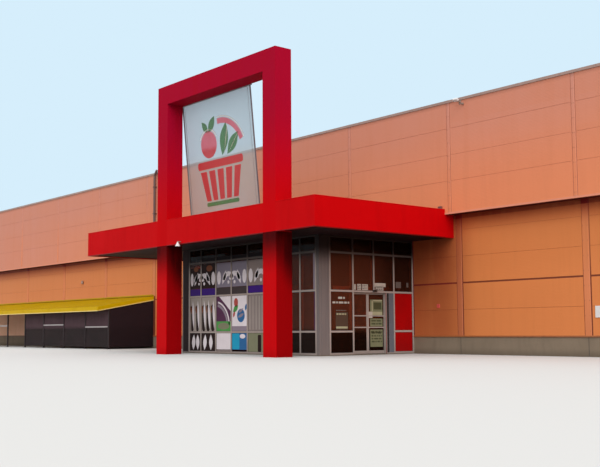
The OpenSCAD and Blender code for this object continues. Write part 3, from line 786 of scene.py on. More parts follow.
class HALL_OT_trim_walls(bpy.types.Operator):
    """Covers, screws, flashings, corner trims, coping and plinth"""
    bl_idname = "hall.trim_walls"
    bl_label = "Wall trims"

    def execute(self, context):
        s = context.scene.hall_walls
        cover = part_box("wall_joint_covers")[1].x - WALL_HIGH.x
        bumps = [grain(0.0005, 80.0)]
        top, foot = PLINTH_TOP, BAND_LOW.z
        layers = [streaks(0.7, 0.4, 9.0), ramp(darker(s.wall, 0.6), 0.25, 1.2, 0.3), *wall_light_and_shade(s)]
        wall_trim = finish("wall_trim_paint", s.trim, layers, METAL, bumps, 0.25)
        layers = [streaks(darker(s.band, 0.68), 0.4, 9.0), *band_shade(s),
                  ramp(s.band_faded, 0.5, foot + 0.06, foot + 0.03)]
        band_trim = finish("band_trim_paint", darker(s.band, 0.92), layers, METAL, bumps, 0.25)
        # Painted shade: the overhang's soffit in a near-black tone taken from the wall's shade
        soffit = finish("soffit_painted_shade", darker(s.shade, 0.3), [patches(0.5, 0.5, 1.2)], (0.6, 0.75),
                        [ribs(0.002, 0.1, ACROSS)], 0.2)
        paint(wall_trim, "wall_joint_covers")
        paint(band_trim, "band_joint_covers")
        paint(soffit, "overhang_soffit")

        base = [(0.0, top - 0.014), (0.016, top - 0.014), (0.016, top - 0.010),
                (0.010, top + 0.012), (0.0, top + 0.020)]
        # Painted shadow: the flashing at the wall's foot is dark, standing in for the shadow line there
        dark = finish("base_flashing_shadow_paint", darker(s.wall, 0.4), [streaks(0.5, 0.5, 12.0)],
                      MATT, bumps)
        piece("base_flashing", sweep(around_hall(0), base), dark, "wall_trim")
        drip = [(-0.04, foot - 0.003), (0.010, foot - 0.010), (0.013, foot - 0.006),
                (0.006, foot + 0.030), (-0.04, foot + 0.030)]
        piece("band_drip", sweep(around_hall(BAND_OUT, True), drip, True), band_trim, "band_trim")
        corners = corner_trims(COVER_HALF, 0.0, cover, top + 0.02, foot)
        piece("wall_corner_trims", corners, wall_trim, "wall_trim")
        corners = corner_trims(BAND_COVER_HALF, BAND_OUT, cover, foot + 0.03, BAND_HIGH.z)
        piece("band_corner_trims", corners, band_trim, "band_trim")
        piece("cover_screws", cover_screws(cover, s.screw_pitch), small("screw_heads"), "wall_trim")
        self.add_coping(s)
        self.add_plinth(s)
        return {"FINISHED"}

    def add_coping(self, s):
        metal = finish("coping_sheet", s.coping, [patches(0.7, 0.5, 1.5), streaks(0.6, 0.3, 8.0)],
                       METAL, [grain(0.0006, 50.0)], Metallic=0.3)
        paint(metal, "parapet_coping")
        low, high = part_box("parapet_coping")
        front, top = low.y, high.z
        lip = corners_of((0.0, top - 0.052), (0.003, top + 0.002))
        piece("coping_drip", sweep(around_hall(-front, True), lip, True), metal, "coping_metal")
        unit = [((-0.03, front - 0.006, top - 0.055), (0.03, front - 0.003, top + 0.003)),
                ((-0.03, front - 0.006, top), (0.03, front + 0.075, top + 0.003))]
        straps = []
        for side in SIDES:
            lines = joint_lines(side)
            strap = placed(boxes(unit), at(lines[0]))
            straps.append(placed(repeated(strap, metal, len(lines), (BAY, 0, 0)), facing(side)))
        piece("coping_straps", joined(straps), metal, "coping_metal")

    def add_plinth(self, s):
        layers = [patches(0.72, 0.45, 2.5, 0.22), streaks(0.6, 0.35, 6.0, 1.5), ramp(0.45, 0.6, 0.16, 0.0)]
        bumps = [grain(0.002, 45.0), grain(0.001, 260.0)]
        paint(finish("plinth_concrete", s.concrete, layers, (0.8, 0.95), bumps, 0.2), "plinth")
        beads = []
        for side in SIDES:
            spans = [((x - 0.006, -0.0015, 0.0), (x + 0.006, 0.002, PLINTH_TOP - 0.016))
                     for x in joint_lines(side, True)]
            beads.append(placed(boxes(spans, 0.0007), facing(side)))
        piece("plinth_sealant_beads", joined(beads), small("plinth_sealant"), "plinth_concrete")
        slab = finish("floor_screed", darker(s.concrete, 0.6), [patches(darker(s.concrete, 0.4), 0.5, 1.8)],
                      (0.6, 0.8), [grain(0.001, 80.0)])
        paint(slab, "floor_slab")


class HALL_OT_cover_roofs(bpy.types.Operator):
    """Membrane and its seams on the hall's and the canopy's roofs"""
    bl_idname = "hall.cover_roofs"
    bl_label = "Roof membrane"

    def execute(self, context):
        layers = [patches(0.66, 0.5, 0.35, 0.22), patches(0.5, 0.3, 2.0, 0.15)]
        membrane = finish("roof_membrane", context.scene.hall_walls.membrane, layers, (0.7, 0.88),
                          [grain(0.0015, 30.0)])
        paint(membrane, "roof_deck", "canopy_roof")
        top, deck = ROOF_HIGH.z, DECK_HIGH.z
        seam = boxes([((ROOF_LOW.x + 0.02, 0.0, top - 0.001), (ROOF_HIGH.x - 0.02, 0.03, top + 0.003))])
        edge = boxes([((DECK_LOW.x + 0.05, -3.2, deck - 0.001), (DECK_LOW.x + 0.08, -0.3, deck + 0.003))])
        fillet = [(0.001, top - 0.002), (0.001, top + 0.16), (-0.006, top + 0.16),
                  (-0.03, top + 0.03), (-0.05, top - 0.002)]
        sheet_count, sheet_wide = 24, 1.0
        strip_count, strip_wide = 9, 1.04
        hall_seams = repeated(seam, membrane, sheet_count, (0, sheet_wide, 0))
        canopy_seams = repeated(edge, membrane, strip_count, (strip_wide, 0, 0))
        upstand = sweep(corners_of(ROOF_LOW, ROOF_HIGH), fillet, True)
        piece("roof_seams", joined([hall_seams, canopy_seams, upstand]), membrane, "roof_membrane")
        return {"FINISHED"}


def along_canopy(outline):
    """Sweeps an outline along the canopy's edge, in stretches between the portal's legs."""
    x0, x1, rear, front = CANOPY_LOW.x, CANOPY_HIGH.x, BAND_LOW.y, FASCIA_FRONT
    paths = (
        [(x0, rear), (x0, front), (LEFT_LEG[0].x, front)],
        [(LEFT_LEG[1].x, front), (RIGHT_LEG[0].x, front)],
        [(RIGHT_LEG[1].x, front), (x1, front), (x1, rear)],
    )
    return joined([sweep(path, outline) for path in paths])


class HALL_OT_dress_canopy(bpy.types.Operator):
    """Canopy and portal frame: paint, edge trims and ceiling boards"""
    bl_idname = "hall.dress_canopy"
    bl_label = "Canopy and portal"

    def execute(self, context):
        s = context.scene.hall_canopy
        top, foot, front = CANOPY_HIGH.z, CANOPY_LOW.z, FASCIA_FRONT
        bumps = [grain(0.0006, 35.0)]
        layers = [streaks(0.7, 0.3, 4.0, 0.8), patches(0.75, 0.35, 0.9)]
        red = finish("canopy_red_paint", s.red, layers, MATT, bumps, 0.04)
        lean = 1.2 * front
        layers = [
            ramp(s.portal_shade, 0.5, front + 0.002, front + 0.03, INWARDS),
            ramp(s.portal_shade, 0.98, 1.5 + lean, 2.36 + lean, (0.0, 1.2, 1.0)),
            ramp(s.portal, 1.0, foot, foot + 0.01), ramp(s.portal_high, 0.85, 2.8, 5.2),
            ramp(0.45, 0.35, 0.22, 0.0), streaks(0.7, 0.22, 4.0),
        ]
        portal = finish("portal_red_paint", s.portal, layers, MATT, bumps, 0.04)
        paint(red, "canopy_front_fascia", "canopy_side_fascias")
        paint(portal, "portal_left_leg", "portal_right_leg", "portal_beam")
        cap = [(-0.104, top), (0.004, top), (0.004, top + s.cap * 0.5), (-0.002, top + s.cap),
               (-0.098, top + s.cap), (-0.104, top + s.cap * 0.5)]
        lip = [(-0.05, foot - 0.004), (0.002, foot - 0.004), (0.002, foot + 0.010),
               (-0.002, foot + 0.012), (-0.05, foot)]
        layers = [patches(0.6, 0.5, 2.0)]
        under = finish("canopy_lip_paint", darker(s.red, 0.5), layers, METAL, shine=0.2)
        piece("canopy_cap", along_canopy(cap), red, "canopy_red")
        piece("canopy_lip", along_canopy(lip), under, "canopy_red")

        # Painted shade: the ceiling boards in a near-black tone for the shade under the canopy
        dark = finish("ceiling_boards", s.ceiling, [patches(0.6, 0.4, 1.5)], (0.55, 0.7),
                      [grain(0.0008, 60.0)], 0.1)
        paint(dark, "canopy_ceiling")
        count = int((-SOFFIT_LOW.y - 0.02) / s.board_pitch)
        board = boxes([((SOFFIT_LOW.x + 0.01, -s.board_pitch + 0.006, CEILING_Z - 0.006),
                        (SOFFIT_HIGH.x - 0.01, -0.006, CEILING_Z + 0.001))], 0.0015)
        boards = repeated(board, dark, count, (0, -s.board_pitch, 0))
        piece("ceiling_boards", boards, dark, "ceiling_dark")
        return {"FINISHED"}


def sign_plane():
    """The sign's front face: X across from its middle, Z up it from its foot, -Y outwards."""
    run = SIGN_HIGH.y - SIGN_LOW.y - SIGN_THICK
    lean = math.atan2(run, SIGN_HIGH.z - SIGN_LOW.z)
    foot = at((SIGN_LOW.x + SIGN_HIGH.x) / 2, SIGN_HIGH.y - SIGN_THICK, SIGN_LOW.z)
    return foot @ Matrix.Rotation(lean, 4, "X")


class HALL_OT_dress_sign(bpy.types.Operator):
    """Frosted sign panel with a plain basket and leaves"""
    bl_idname = "hall.dress_sign"
    bl_label = "Sign panel"

    def execute(self, context):
        s = context.scene.hall_sign
        layers = [ramp(s.glass_low, 0.8, 4.5, 4.1), patches(1.12, 0.5, 0.8)]
        glass = finish("sign_frosted_glass", s.glass, layers, (0.16, 0.24), Alpha=0.46, IOR=1.35)
        metal = finish("sign_edge_metal", s.edge, [patches(0.6, 0.5, 4.0)], Metallic=0.3)
        paint(glass, "sign_panel")
        paint(metal, "sign_frame")
        plane = sign_plane()
        slats = []
        for i in range(5):
            foot, top = -0.50 + 0.25 * i, -0.64 + 0.32 * i
            slats.append([(foot - 0.085, 0.62), (foot + 0.085, 0.62),
                          (top + 0.115, 1.28), (top - 0.115, 1.28)])
        red = [*slats, rounded((-0.84, 1.33), (0.84, 1.50), 0.06, 4),
               disc(-0.36, 1.86, 0.30), arch(0.1, 1.52, 0.74, 0.86, 22, 96)]
        green = [rounded((-0.60, 0.50), (0.60, 0.585), 0.04, 4), leaf(-0.34, 2.12, 0.42, 0.20, 52),
                 leaf(0.12, 1.56, 0.72, 0.30, 74), leaf(0.30, 1.56, 0.62, 0.26, 44),
                 leaf(-0.36, 2.12, 0.34, 0.16, 128)]
        pale = [arch(-0.36, 1.86, 0.32, 0.345, 25, 155), arch(0.1, 1.52, 0.88, 0.90, 22, 96),
                leaf(0.2, 1.60, 0.66, 0.03, 74), leaf(0.36, 1.60, 0.54, 0.03, 44)]
        films = (("red", red, s.red, s.pink, 0.66), ("green", green, s.green, s.green, 0.66),
                 ("pale", pale, s.outline, s.outline, 0.8))
        for name, outlines, tone, high, alpha in films:
            layers = [ramp(high, 0.85, 4.45, 4.6), patches(0.85, 0.3, 3.0)]
            film = finish(f"sign_film_{name}", tone, layers, (0.45, 0.55), Alpha=alpha)
            piece(f"sign_motif_{name}", placed(cut_outs(outlines, 0.0015), plane), film, "sign_glass")
        half = (SIGN_HIGH.x - SIGN_LOW.x) / 2
        tall = (SIGN_HIGH.z - SIGN_LOW.z) / plane.col[2].z
        clips = [((x - 0.004, -0.003, 0.03), (x + 0.004, 0.0, tall - 0.03))
                 for x in (0.075 - half, half - 0.075)]
        rail = [((-half, -0.012, 0.0), (half, 0.028, 0.05))]
        trims = joined([boxes(clips), boxes(rail, 0.004)])
        piece("sign_rail_and_strips", placed(trims, plane), metal, "sign_metal")
        return {"FINISHED"}


def pane_rings(xs, zs, width):
    """Gaskets round the panes between these bars, standing on the glass."""
    rings = []
    edge = BAR / 2
    for x0, x1 in zip(xs, xs[1:]):
        for z0, z1 in zip(zs, zs[1:]):
            path = corners_of((x0 + edge, z0 + edge), (x1 - edge, z1 - edge))
            rings.append(sweep(path, corners_of((-width, -CAP), (0.0, 0.004 - CAP)), True))
    return placed(joined(rings), turned("X", 90))


class HALL_OT_glaze_vestibule(bpy.types.Operator):
    """Glass, gaskets, frames, corner posts, jambs and the mat inside"""
    bl_idname = "hall.glaze_vestibule"
    bl_label = "Vestibule"

    def execute(self, context):
        s = context.scene.hall_glazing
        # Darker towards the floor, and painted shade near black just under the ceiling
        dark_foot_and_shade = [ramp(darker(s.frame, 0.45), 0.5, 0.45, 0.0), ramp(s.shade, 0.97, 1.75, 2.22)]
        metal = finish("frame_aluminium", s.frame, [patches(0.72, 0.35, 6.0), *dark_foot_and_shade], SATIN,
                       [grain(0.0004, 120.0)], 0.12, Metallic=0.05)
        post = finish("post_cladding", s.post, [streaks(0.7, 0.4, 10.0, 0.6), *dark_foot_and_shade],
                      METAL, [grain(0.0005, 70.0)], 0.15, Metallic=0.05)
        # Painted shade: the glass near black under the ceiling; it also darkens towards the floor and towards
        # the hall's wall
        layers = [ramp(0.08, 0.9, 0.6, 0.42), ramp(0.08, 0.9, 1.9, 2.2), ramp(0.08, 0.6, -1.4, -0.5, INWARDS)]
        glass = finish("vestibule_glass", s.tint, layers, (0.02, 0.02), IOR=1.12, Transmission_Weight=0.9)
        layers = [patches(0.6, 0.5, 2.0), ramp(0.5, 0.5, 0.6, 0.0)]
        infill = finish("infill_paint", s.infill, layers, shine=0.15)
        doors = [f"{side}_door_{end}" for side in ("right", "left") for end in ("front", "rear")]
        paint(metal, "vestibule_front_frame", "vestibule_right_frame", "vestibule_left_frame",
              "door_headers", *(f"{door}_leaf" for door in doors))
        paint(glass, "vestibule_glass", *(f"{door}_glass" for door in doors))
        paint(infill, "infill_panels")
        paint(post, "corner_posts")

        post_end, jamb_foot, jamb_head = POST_LOW.y + POST_WIDE, FLOOR_Z + 0.02, 1.285
        rings = [placed(pane_rings(FRONT_XS, PANE_ZS, s.gasket), at(0, POST_LOW.y))]
        jambs, seals = [], []
        for turn in (vestibule_side("right"), vestibule_side("left")):
            for xs, zs in ((SIDE_XS, PANE_ZS[2:]), (SIDE_XS[:2], PANE_ZS[:3]), (SIDE_XS[3:], PANE_ZS[:3])):
                rings.append(placed(pane_rings(xs, zs, s.gasket), turn))
            jambs.append(placed(boxes([((-0.752, -0.002, jamb_foot), (-0.614, 0.001, jamb_head))]), turn))
            seal = boxes([((-0.816, -0.0015, jamb_foot), (-0.756, 0.001, jamb_head))], 0.0006)
            seals.append(placed(seal, turn))
        folds = [((y, -0.006, FLOOR_Z), (y + 0.015, 0.001, CEILING_Z))
                 for y in (POST_LOW.y + 0.055, post_end - 0.044)]
        folds += [((POST_LOW.y + 0.002, -0.002, z), (post_end - 0.002, 0.001, z + 0.006))
                  for z in (0.83, 1.63)]
        panel = [((0.035, -0.003, FLOOR_Z + 0.02), (POST_WIDE - 0.025, 0.001, CEILING_Z - 0.02))]
        places = (at(POST_LOW.x, POST_LOW.y), vestibule_side("left") @ at(POST_LOW.y))
        panels = joined([placed(boxes(panel), place) for place in places])
        piece("pane_gaskets", joined(rings), small("gasket_rubber"), "frame_aluminium")
        piece("corner_post_folds", placed(boxes(folds, 0.0006), vestibule_side("right")), post,
              "corner_cladding")
        piece("corner_post_panels", panels, small("post_panel_paint"), "corner_cladding")
        piece("doorway_jambs", joined(jambs), small("jamb_paint"), "frame_aluminium")
        piece("doorway_seals", joined(seals), small("gasket_rubber"), "frame_aluminium")

        mat = finish("entrance_mat", linear(34, 28, 27), [patches(linear(20, 17, 17), 0.5, 8.0)],
                     (0.85, 0.95), [grain(0.002, 200.0)])
        rib_count, rib_pitch = 75, 0.03
        rib = boxes([((POST_LOW.x + 0.2, -2.50, FLOOR_Z - 0.001),
                      (POST_HIGH.x - 0.2, -2.48, FLOOR_Z + 0.007))], 0.002)
        mat_ribs = repeated(rib, mat, rib_count, (0, rib_pitch, 0))
        piece("entrance_mat_ribs", mat_ribs, mat, "floor_concrete")
        return {"FINISHED"}


def marks(x0, z0, x1, z1, rows, seed, tall=0.5):
    """Rows of short rounded dashes, one under another, from a seed of their own."""
    step = (z1 - z0) / rows
    half = step * tall / 2
    shapes = []
    value = seed
    for row in range(rows):
        x, z = x0, z1 - step * (row + 0.5)
        while x < x1 - step * 0.3:
            value = (value * 37 + 11) % 101
            wide = min(step * (0.5 + value / 60), x1 - x)
            shapes.append(rounded((x, z - half), (x + wide, z + half), min(wide, step * tall) * 0.24))
            x += wide + step * 0.35
    return shapes


# Sheets at the doorways: name, finish, level above the glass, plates (x0, z0, x1, z1, radius)
# and rows of marks (x0, z0, x1, z1, rows, seed, share of the row's height)
LEAF_SHEETS = (
    ("door_papers", "notice_olive", 0,
     ((-1.215, 0.16, -0.852, 0.52), (-1.215, 0.585, -0.852, 0.75), (-1.215, 0.82, -0.852, 1.145)), ()),
    ("door_paper_strips", "notice_pale", 1,
     ((-1.205, 0.825, -0.856, 0.892), (-1.165, 0.90, -1.135, 1.14), (-1.165, 1.115, -0.86, 1.14)), ()),
    ("door_paper_lines", "notice_ink", 1, ((-1.11, 0.94, -0.88, 1.085, 0.01),),
     ((-1.18, 0.24, -0.88, 0.48, 4, 7), (-1.18, 0.61, -0.88, 0.735, 2, 5),
      (-1.19, 0.44, -0.87, 0.505, 1, 4, 0.6))),
)
HEAD_SHEETS = (
    ("head_notices", "notice_white", 0,
     ((-1.745, 1.335, -1.70, 1.45), (-1.66, 1.335, -1.55, 1.455), (-1.525, 1.335, -1.355, 1.455),
      (-1.165, 1.41, -0.835, 1.49), (-1.13, 1.335, -0.90, 1.42)), ()),
    ("head_notice_lines", "notice_grey", 1, (),
     ((-1.655, 1.35, -1.56, 1.445, 3, 3), (-1.515, 1.35, -1.37, 1.445, 3, 6),
      (-1.12, 1.34, -0.91, 1.41, 2, 8, 0.6))),
    ("infill_notice", "notice_grey", 0, ((-0.53, 1.40, -0.37, 1.53), (-0.20, 1.42, -0.14, 1.52)), ()),
    ("pane_marks", "notice_white", 0, (),
     ((-2.19, 1.125, -2.01, 1.20, 1, 4, 0.55), (-2.345, 1.035, -1.885, 1.10, 1, 9, 0.6))),
    ("pane_lines", "notice_grey", 0, (), ((-2.25, 0.885, -1.975, 0.93, 1, 6),)),
    ("pane_poster", "poster_brown", 0, ((-2.262, 0.52, -1.926, 0.873, 0.006),), ()),
    ("pane_poster_lines", "notice_pale", 1, ((-2.25, 0.545, -1.94, 0.585),),
     ((-2.24, 0.81, -1.95, 0.86, 1, 6, 0.6),)),
)


class HALL_OT_fit_doors(bpy.types.Operator):
    """Notices on the door leaves and over the doorways, sensors and floor tracks"""
    bl_idname = "hall.fit_doors"
    bl_label = "Doorways"

    def execute(self, context):
        leaf_face, sheet_thick = 0.100, 0.001
        for side in ("right", "left"):
            turn = vestibule_side(side)
            rear_leaf = f"{side}_door_rear"
            for sheets, face, body in ((LEAF_SHEETS, leaf_face, rear_leaf), (HEAD_SHEETS, CAP, "building")):
                for name, tone, level, plates, rows in sheets:
                    shapes = [rounded(plate[:2], plate[2:4], *plate[4:]) for plate in plates]
                    for row in rows:
                        shapes += marks(*row)
                    sheet = placed(cut_outs(shapes), turn @ at(0, face - sheet_thick * level))
                    piece(f"{side}_{name}", sheet, small(tone), "clear_glass", body)
            box = boxes([((-1.255, leaf_face - 0.006, 0.762), (-1.150, leaf_face, 0.892))], 0.0015)
            housing = boxes([((-1.235, -0.034, 1.300), (-1.115, 0.0, 1.342))], 0.006)
            track = boxes([((-2.27, y, FLOOR_Z - 0.0005), (-0.325, y + 0.004, FLOOR_Z + 0.0045))
                           for y in (0.090, 0.114)], 0.0008)
            for name, mesh, tone, body in (("lock_box", box, "notice_white", rear_leaf),
                                           ("sensor", housing, "sensor_plastic", "building"),
                                           ("track", track, "track_steel", "building")):
                piece(f"{side}_door_{name}", placed(mesh, turn), small(tone), "frame_aluminium", body)
        return {"FINISHED"}


# Colours of the films on the vestibule's glass, each part from 0 to 255
FILM_TONES = {
    "mauve": (138, 130, 144), "plum": (92, 54, 82), "purple": (66, 34, 124), "taupe": (74, 64, 64),
    "white": (236, 226, 230), "lavender": (150, 136, 148), "grey": (146, 132, 128),
    "umber": (46, 30, 28), "rust": (128, 76, 54), "green": (88, 160, 84), "blue": (56, 108, 160),
    "cyan": (44, 160, 198), "sage": (134, 134, 108), "coral": (182, 84, 78), "sand": (170, 158, 150),
}


def film_pane(bay, row, low=0.0, high=1.0, left=0.0, right=1.0):
    """The corners of a share of a pane of the vestibule's front."""
    edge = BAR / 2 + 0.003
    x0, x1 = FRONT_XS[bay] + edge, FRONT_XS[bay + 1] - edge
    z0, z1 = PANE_ZS[row] + edge, PANE_ZS[row + 1] - edge
    return ((x0 + (x1 - x0) * left, z0 + (z1 - z0) * low),
            (x0 + (x1 - x0) * right, z0 + (z1 - z0) * high))


def film_shapes():
    """What is cut from each tone of film, as (tone, level above the glass, outline)."""
    shapes = []

    def sheet(tone, level, bay, row, low=0.0, high=1.0, left=0.0, right=1.0, radius=0.004):
        corners = film_pane(bay, row, low, high, left, right)
        shapes.append((tone, level, rounded(*corners, radius, 4)))

    def add(tone, level, *outlines):
        shapes.extend((tone, level, outline) for outline in outlines)

    # At eye height: a ground and a band on each pane, with three motifs in a row
    for bay, ground in enumerate(("umber", "umber", "mauve", "mauve", "grey")):
        sheet(ground, 0, bay, 2, 0.22, 0.97 if bay else 0.86)
        sheet("purple" if bay in (0, 1, 4) else "taupe", 0, bay, 2, 0.0, 0.21)
        if bay:
            sheet("lavender", 0, bay, 3, 0.0, 0.3)
        (x0, z0), (x1, z1) = film_pane(bay, 2, 0.31, 0.72)
        wide, tall = x1 - x0, z1 - z0
        for k in range(3):
            x = x0 + wide * (0.17 + 0.33 * k)
            motifs = (
                [disc(x, z0 + tall / 2, wide * 0.135, tall / wide / 0.27)],
                [leaf(x - wide * 0.09, z0, tall * 1.12, wide * 0.2, 66)],
                [arch(x, z0 + tall * 0.24, tall * 0.34, tall * 0.7, 8, 172),
                 disc(x, z0 + tall * 0.14, wide * 0.07)],
                [leaf(x + wide * 0.09, z0, tall * 1.12, wide * 0.2, 114)],
            )
            add("white", 1, *motifs[(bay * 2 + k) % 4])
    for bay in (0, 1):
        (x0, z0), (x1, z1) = film_pane(bay, 2, 0.76, 0.92)
        add("rust", 1, disc(x0 + (x1 - x0) * 0.55, (z0 + z1) / 2, (x1 - x0) * 0.22, 0.6))

    # Below: dark shapes with leaves, then arcs, discs with leaves, and stripes
    for bay, ground in enumerate(("sand", "sand", "plum", "white", "grey")):
        sheet(ground, 0, bay, 1)
    for bay, shares in ((0, (0.2, 0.68)), (1, (0.14, 0.46, 0.8))):
        for share in shares:
            sheet("umber", 1, bay, 1, 0.0, 0.78, share - 0.11, share + 0.13, 0.1)
            (x0, z0), (x1, z1) = film_pane(bay, 1, 0.0, 0.8, share - 0.1, share + 0.12)
            add("white", 2, leaf((x0 + x1) / 2 + 0.06, z0 + 0.05, 0.66, 0.08, 94))
            add("rust", 2, leaf((x0 + x1) / 2 - 0.04, z1 - 0.22, 0.2, 0.06, 100))
    (x0, z0), (x1, z1) = film_pane(2, 1)
    add("white", 1, [(x0 + 0.1, z1), (x1, z1 - 0.34), (x1, z1)])
    add("lavender", 1, arch(x0 - 0.05, z0 + 0.12, 0.44, 0.5, 2, 78))
    add("white", 2, arch(x0 - 0.05, z0 + 0.12, 0.52, 0.56, 2, 78))
    sheet("green", 2, 2, 1, 0.0, 0.28)
    (x0, z0), (x1, z1) = film_pane(2, 1, 0.03, 0.26)
    add("sage", 3, disc((x0 + x1) / 2, (z0 + z1) / 2, (x1 - x0) * 0.4, 0.34))
    (x0, z0), (x1, z1) = film_pane(3, 1)
    add("coral", 1, disc(x0 + 0.15, z1 - 0.15, 0.075, 1.3), leaf(x0 + 0.05, z0 + 0.3, 0.16, 0.07, 70))
    add("green", 1, leaf(x0 + 0.04, z0 + 0.42, 0.24, 0.12, 38))
    add("blue", 1, disc(x0 + 0.33, z0 + 0.34, 0.14, 1.05), leaf(x0 + 0.5, z0 + 0.44, 0.16, 0.07, 80))
    add("lavender", 2, leaf(x0 + 0.22, z0 + 0.3, 0.24, 0.07, 20), leaf(x0 + 0.24, z0 + 0.4, 0.2, 0.06, 28))
    sheet("lavender", 1, 3, 1, 0.0, 0.14)
    for share in (0.12, 0.32, 0.52, 0.72, 0.9):
        sheet("sand", 1, 4, 1, 0.04, 0.96, share - 0.03, share + 0.03, 0.012)

    # At the foot: leaves, plain grounds and blocks, and the strips at the far end
    for bay, share in ((0, 0.3), (0, 0.72), (1, 0.2), (1, 0.66)):
        (x0, z0), (x1, z1) = film_pane(bay, 0, 0.02, 0.9, share - 0.08, share + 0.1)
        add("white", 1, leaf((x0 + x1) / 2, z0 + 0.01, z1 - z0, 0.14, 82 + 12 * share))
    for bay, ground in enumerate(("umber", "umber", "white", "blue", "sage")):
        sheet(ground, 0, bay, 0, 0.1 if bay in (2, 3) else 0.0)
    sheet("cyan", 1, 3, 0, 0.12, 0.98, 0.02, 0.5, 0.03)
    sheet("grey", 1, 2, 0, 0.0, 0.08)
    sheet("umber", 1, 4, 0, 0.0, 0.9, 0.62, 0.84, 0.03)
    (x0, z0), (x1, z1) = film_pane(3, 0, 0.7, 0.95, 0.5, 0.92)
    add("white", 2, disc((x0 + x1) / 2, (z0 + z1) / 2, 0.1, 0.5))
    sheet("lavender", 0, 7, 2, 0.0, 1.0, 0.86, 1.0)
    sheet("plum", 0, 7, 1, 0.0, 1.0, 0.9, 1.0)
    return shapes


class HALL_OT_apply_films(bpy.types.Operator):
    """Plain coloured films on the vestibule's front glass"""
    bl_idname = "hall.apply_films"
    bl_label = "Window films"

    def execute(self, context):
        thick = context.scene.hall_glazing.film
        shapes = film_shapes()
        for name, rgb in FILM_TONES.items():
            # Painted shade: each film near black just under the ceiling
            layers = [patches(0.7, 0.35, 3.0), ramp(linear(8, 3, 3), 0.97, 1.98, 2.12)]
            film = finish(f"film_{name}", linear(*rgb), layers, PAPER, shine=0.05)
            meshes = [placed(cut_outs([outline], thick), at(0, POST_LOW.y + CAP - thick * level))
                      for tone, level, outline in shapes if tone == name]
            piece(f"film_{name}", joined(meshes), film, "clear_glass")
        return {"FINISHED"}


class HALL_OT_dress_lean_to(bpy.types.Operator):
    """Edge drips, flashing, base plates, screens and rails of the lean-to"""
    bl_idname = "hall.dress_lean_to"
    bl_label = "Lean-to"

    def execute(self, context):
        s = context.scene.hall_lean_to
        bumps = [grain(0.0006, 50.0)]
        layers = [streaks(0.66, 0.4, 5.0, 1.5), patches(0.7, 0.35, 1.2)]
        sheet = finish("lean_to_sheet_paint", s.yellow, layers, MATT, bumps, 0.08)
        board = finish("lean_to_fascia_paint", s.fascia, [streaks(0.66, 0.35, 5.0, 1.5)],
                       MATT, bumps, 0.08)
        light = finish("lean_to_edge_paint", s.edge, [streaks(0.75, 0.4, 8.0, 1.0)], METAL)
        steel = finish("lean_to_steel_paint", s.steel, [patches(0.6, 0.5, 6.0)], MATT,
                       [grain(0.0005, 90.0)], 0.25)
        layers = [
            ramp(s.screen_low, 0.95, 0.72, 0.56), patches(0.6, 0.35, 2.0),
            # Painted shade: the end screen by the entrance near black
            ramp(s.screen_end_shade, 0.92, EAVE_HIGH.x - 0.06, EAVE_HIGH.x - 0.02, ACROSS),
            ("lines", 0.3, 0.6, {"Direction": ACROSS, "Pitch": 0.09}),
        ]
        screen = finish("lean_to_screen_plastic", s.screen, layers, MATT,
                        [ribs(0.002, 0.03, ACROSS)], 0.06, Alpha=0.86)
        paint(sheet, "lean_to_roof")
        paint(board, "lean_to_fascia")
        paint(steel, "lean_to_posts")
        paint(screen, "lean_to_screens")

        front, foot, top = EAVE_LOW.y, EAVE_LOW.z, SLOPE_HIGH.z
        wall_z = top - 0.125
        verge = [(front, foot - 0.006), (0.0, wall_z - 0.006), (0.0, wall_z + 0.016), (front, foot + 0.016)]
        drips = [boxes([((EAVE_LOW.x - 0.002, front - 0.004, foot - 0.006),
                         (EAVE_HIGH.x + 0.004, front + 0.022, foot + 0.016))], 0.002)]
        for x in (EAVE_HIGH.x - 0.022, EAVE_LOW.x - 0.002):
            drips.append(placed(cut_outs([verge], 0.026), at(x) @ turned("Z", 90)))
        piece("lean_to_edge_drip", joined(drips), light, "lean_to_yellow")
        fold = [(0.0, top), (0.05, top + 0.006), (0.05, top + 0.018), (0.012, top + 0.03), (0.0, top + 0.06)]
        flashing = sweep([(EAVE_LOW.x, 0.0), (EAVE_HIGH.x, 0.0)], fold)
        piece("lean_to_wall_flashing", flashing, sheet, "lean_to_yellow")

        post_count, post_pitch = 9, 1.446
        plate = boxes([((-7.586, -1.526, 0.0), (-7.494, -1.434, 0.006))])
        plates = repeated(plate, steel, post_count, (-post_pitch, 0, 0))
        piece("lean_to_base_plates", plates, steel, "lean_to_steel")
        rails = [((left, -1.512, foot), (right, -1.494, foot + 0.04))
                 for left, right, foot in ((-16.186, -14.790, 0.712), (-11.858, -10.452, 0.712),
                                           (-8.966, -7.600, 0.632))]
        piece("lean_to_white_rails", boxes(rails, 0.004), small("rail_white_paint"), "lean_to_steel")
        return {"FINISHED"}


def downpipe(front):
    """The pipe down the upper band to the left of the portal, with its clips and bent top."""
    x, y, foot, top, radius = -6.97, front - 0.06, BAND_LOW.z + 0.02, 5.17, 0.034
    pipe = placed(lathe([(radius, 0.0), (radius, top - foot)], 16), at(x, y, foot))
    bend = placed(lathe([(radius, 0.0), (radius, 0.19)], 16), at(x, y, top - 0.01) @ turned("Y", 40))
    clips = boxes([((x - 0.046, y - 0.038, z), (x + 0.046, front + 0.004, z + 0.024))
                   for z in (3.2, 4.0, 4.8)], 0.002)
    return joined([pipe, bend, clips])


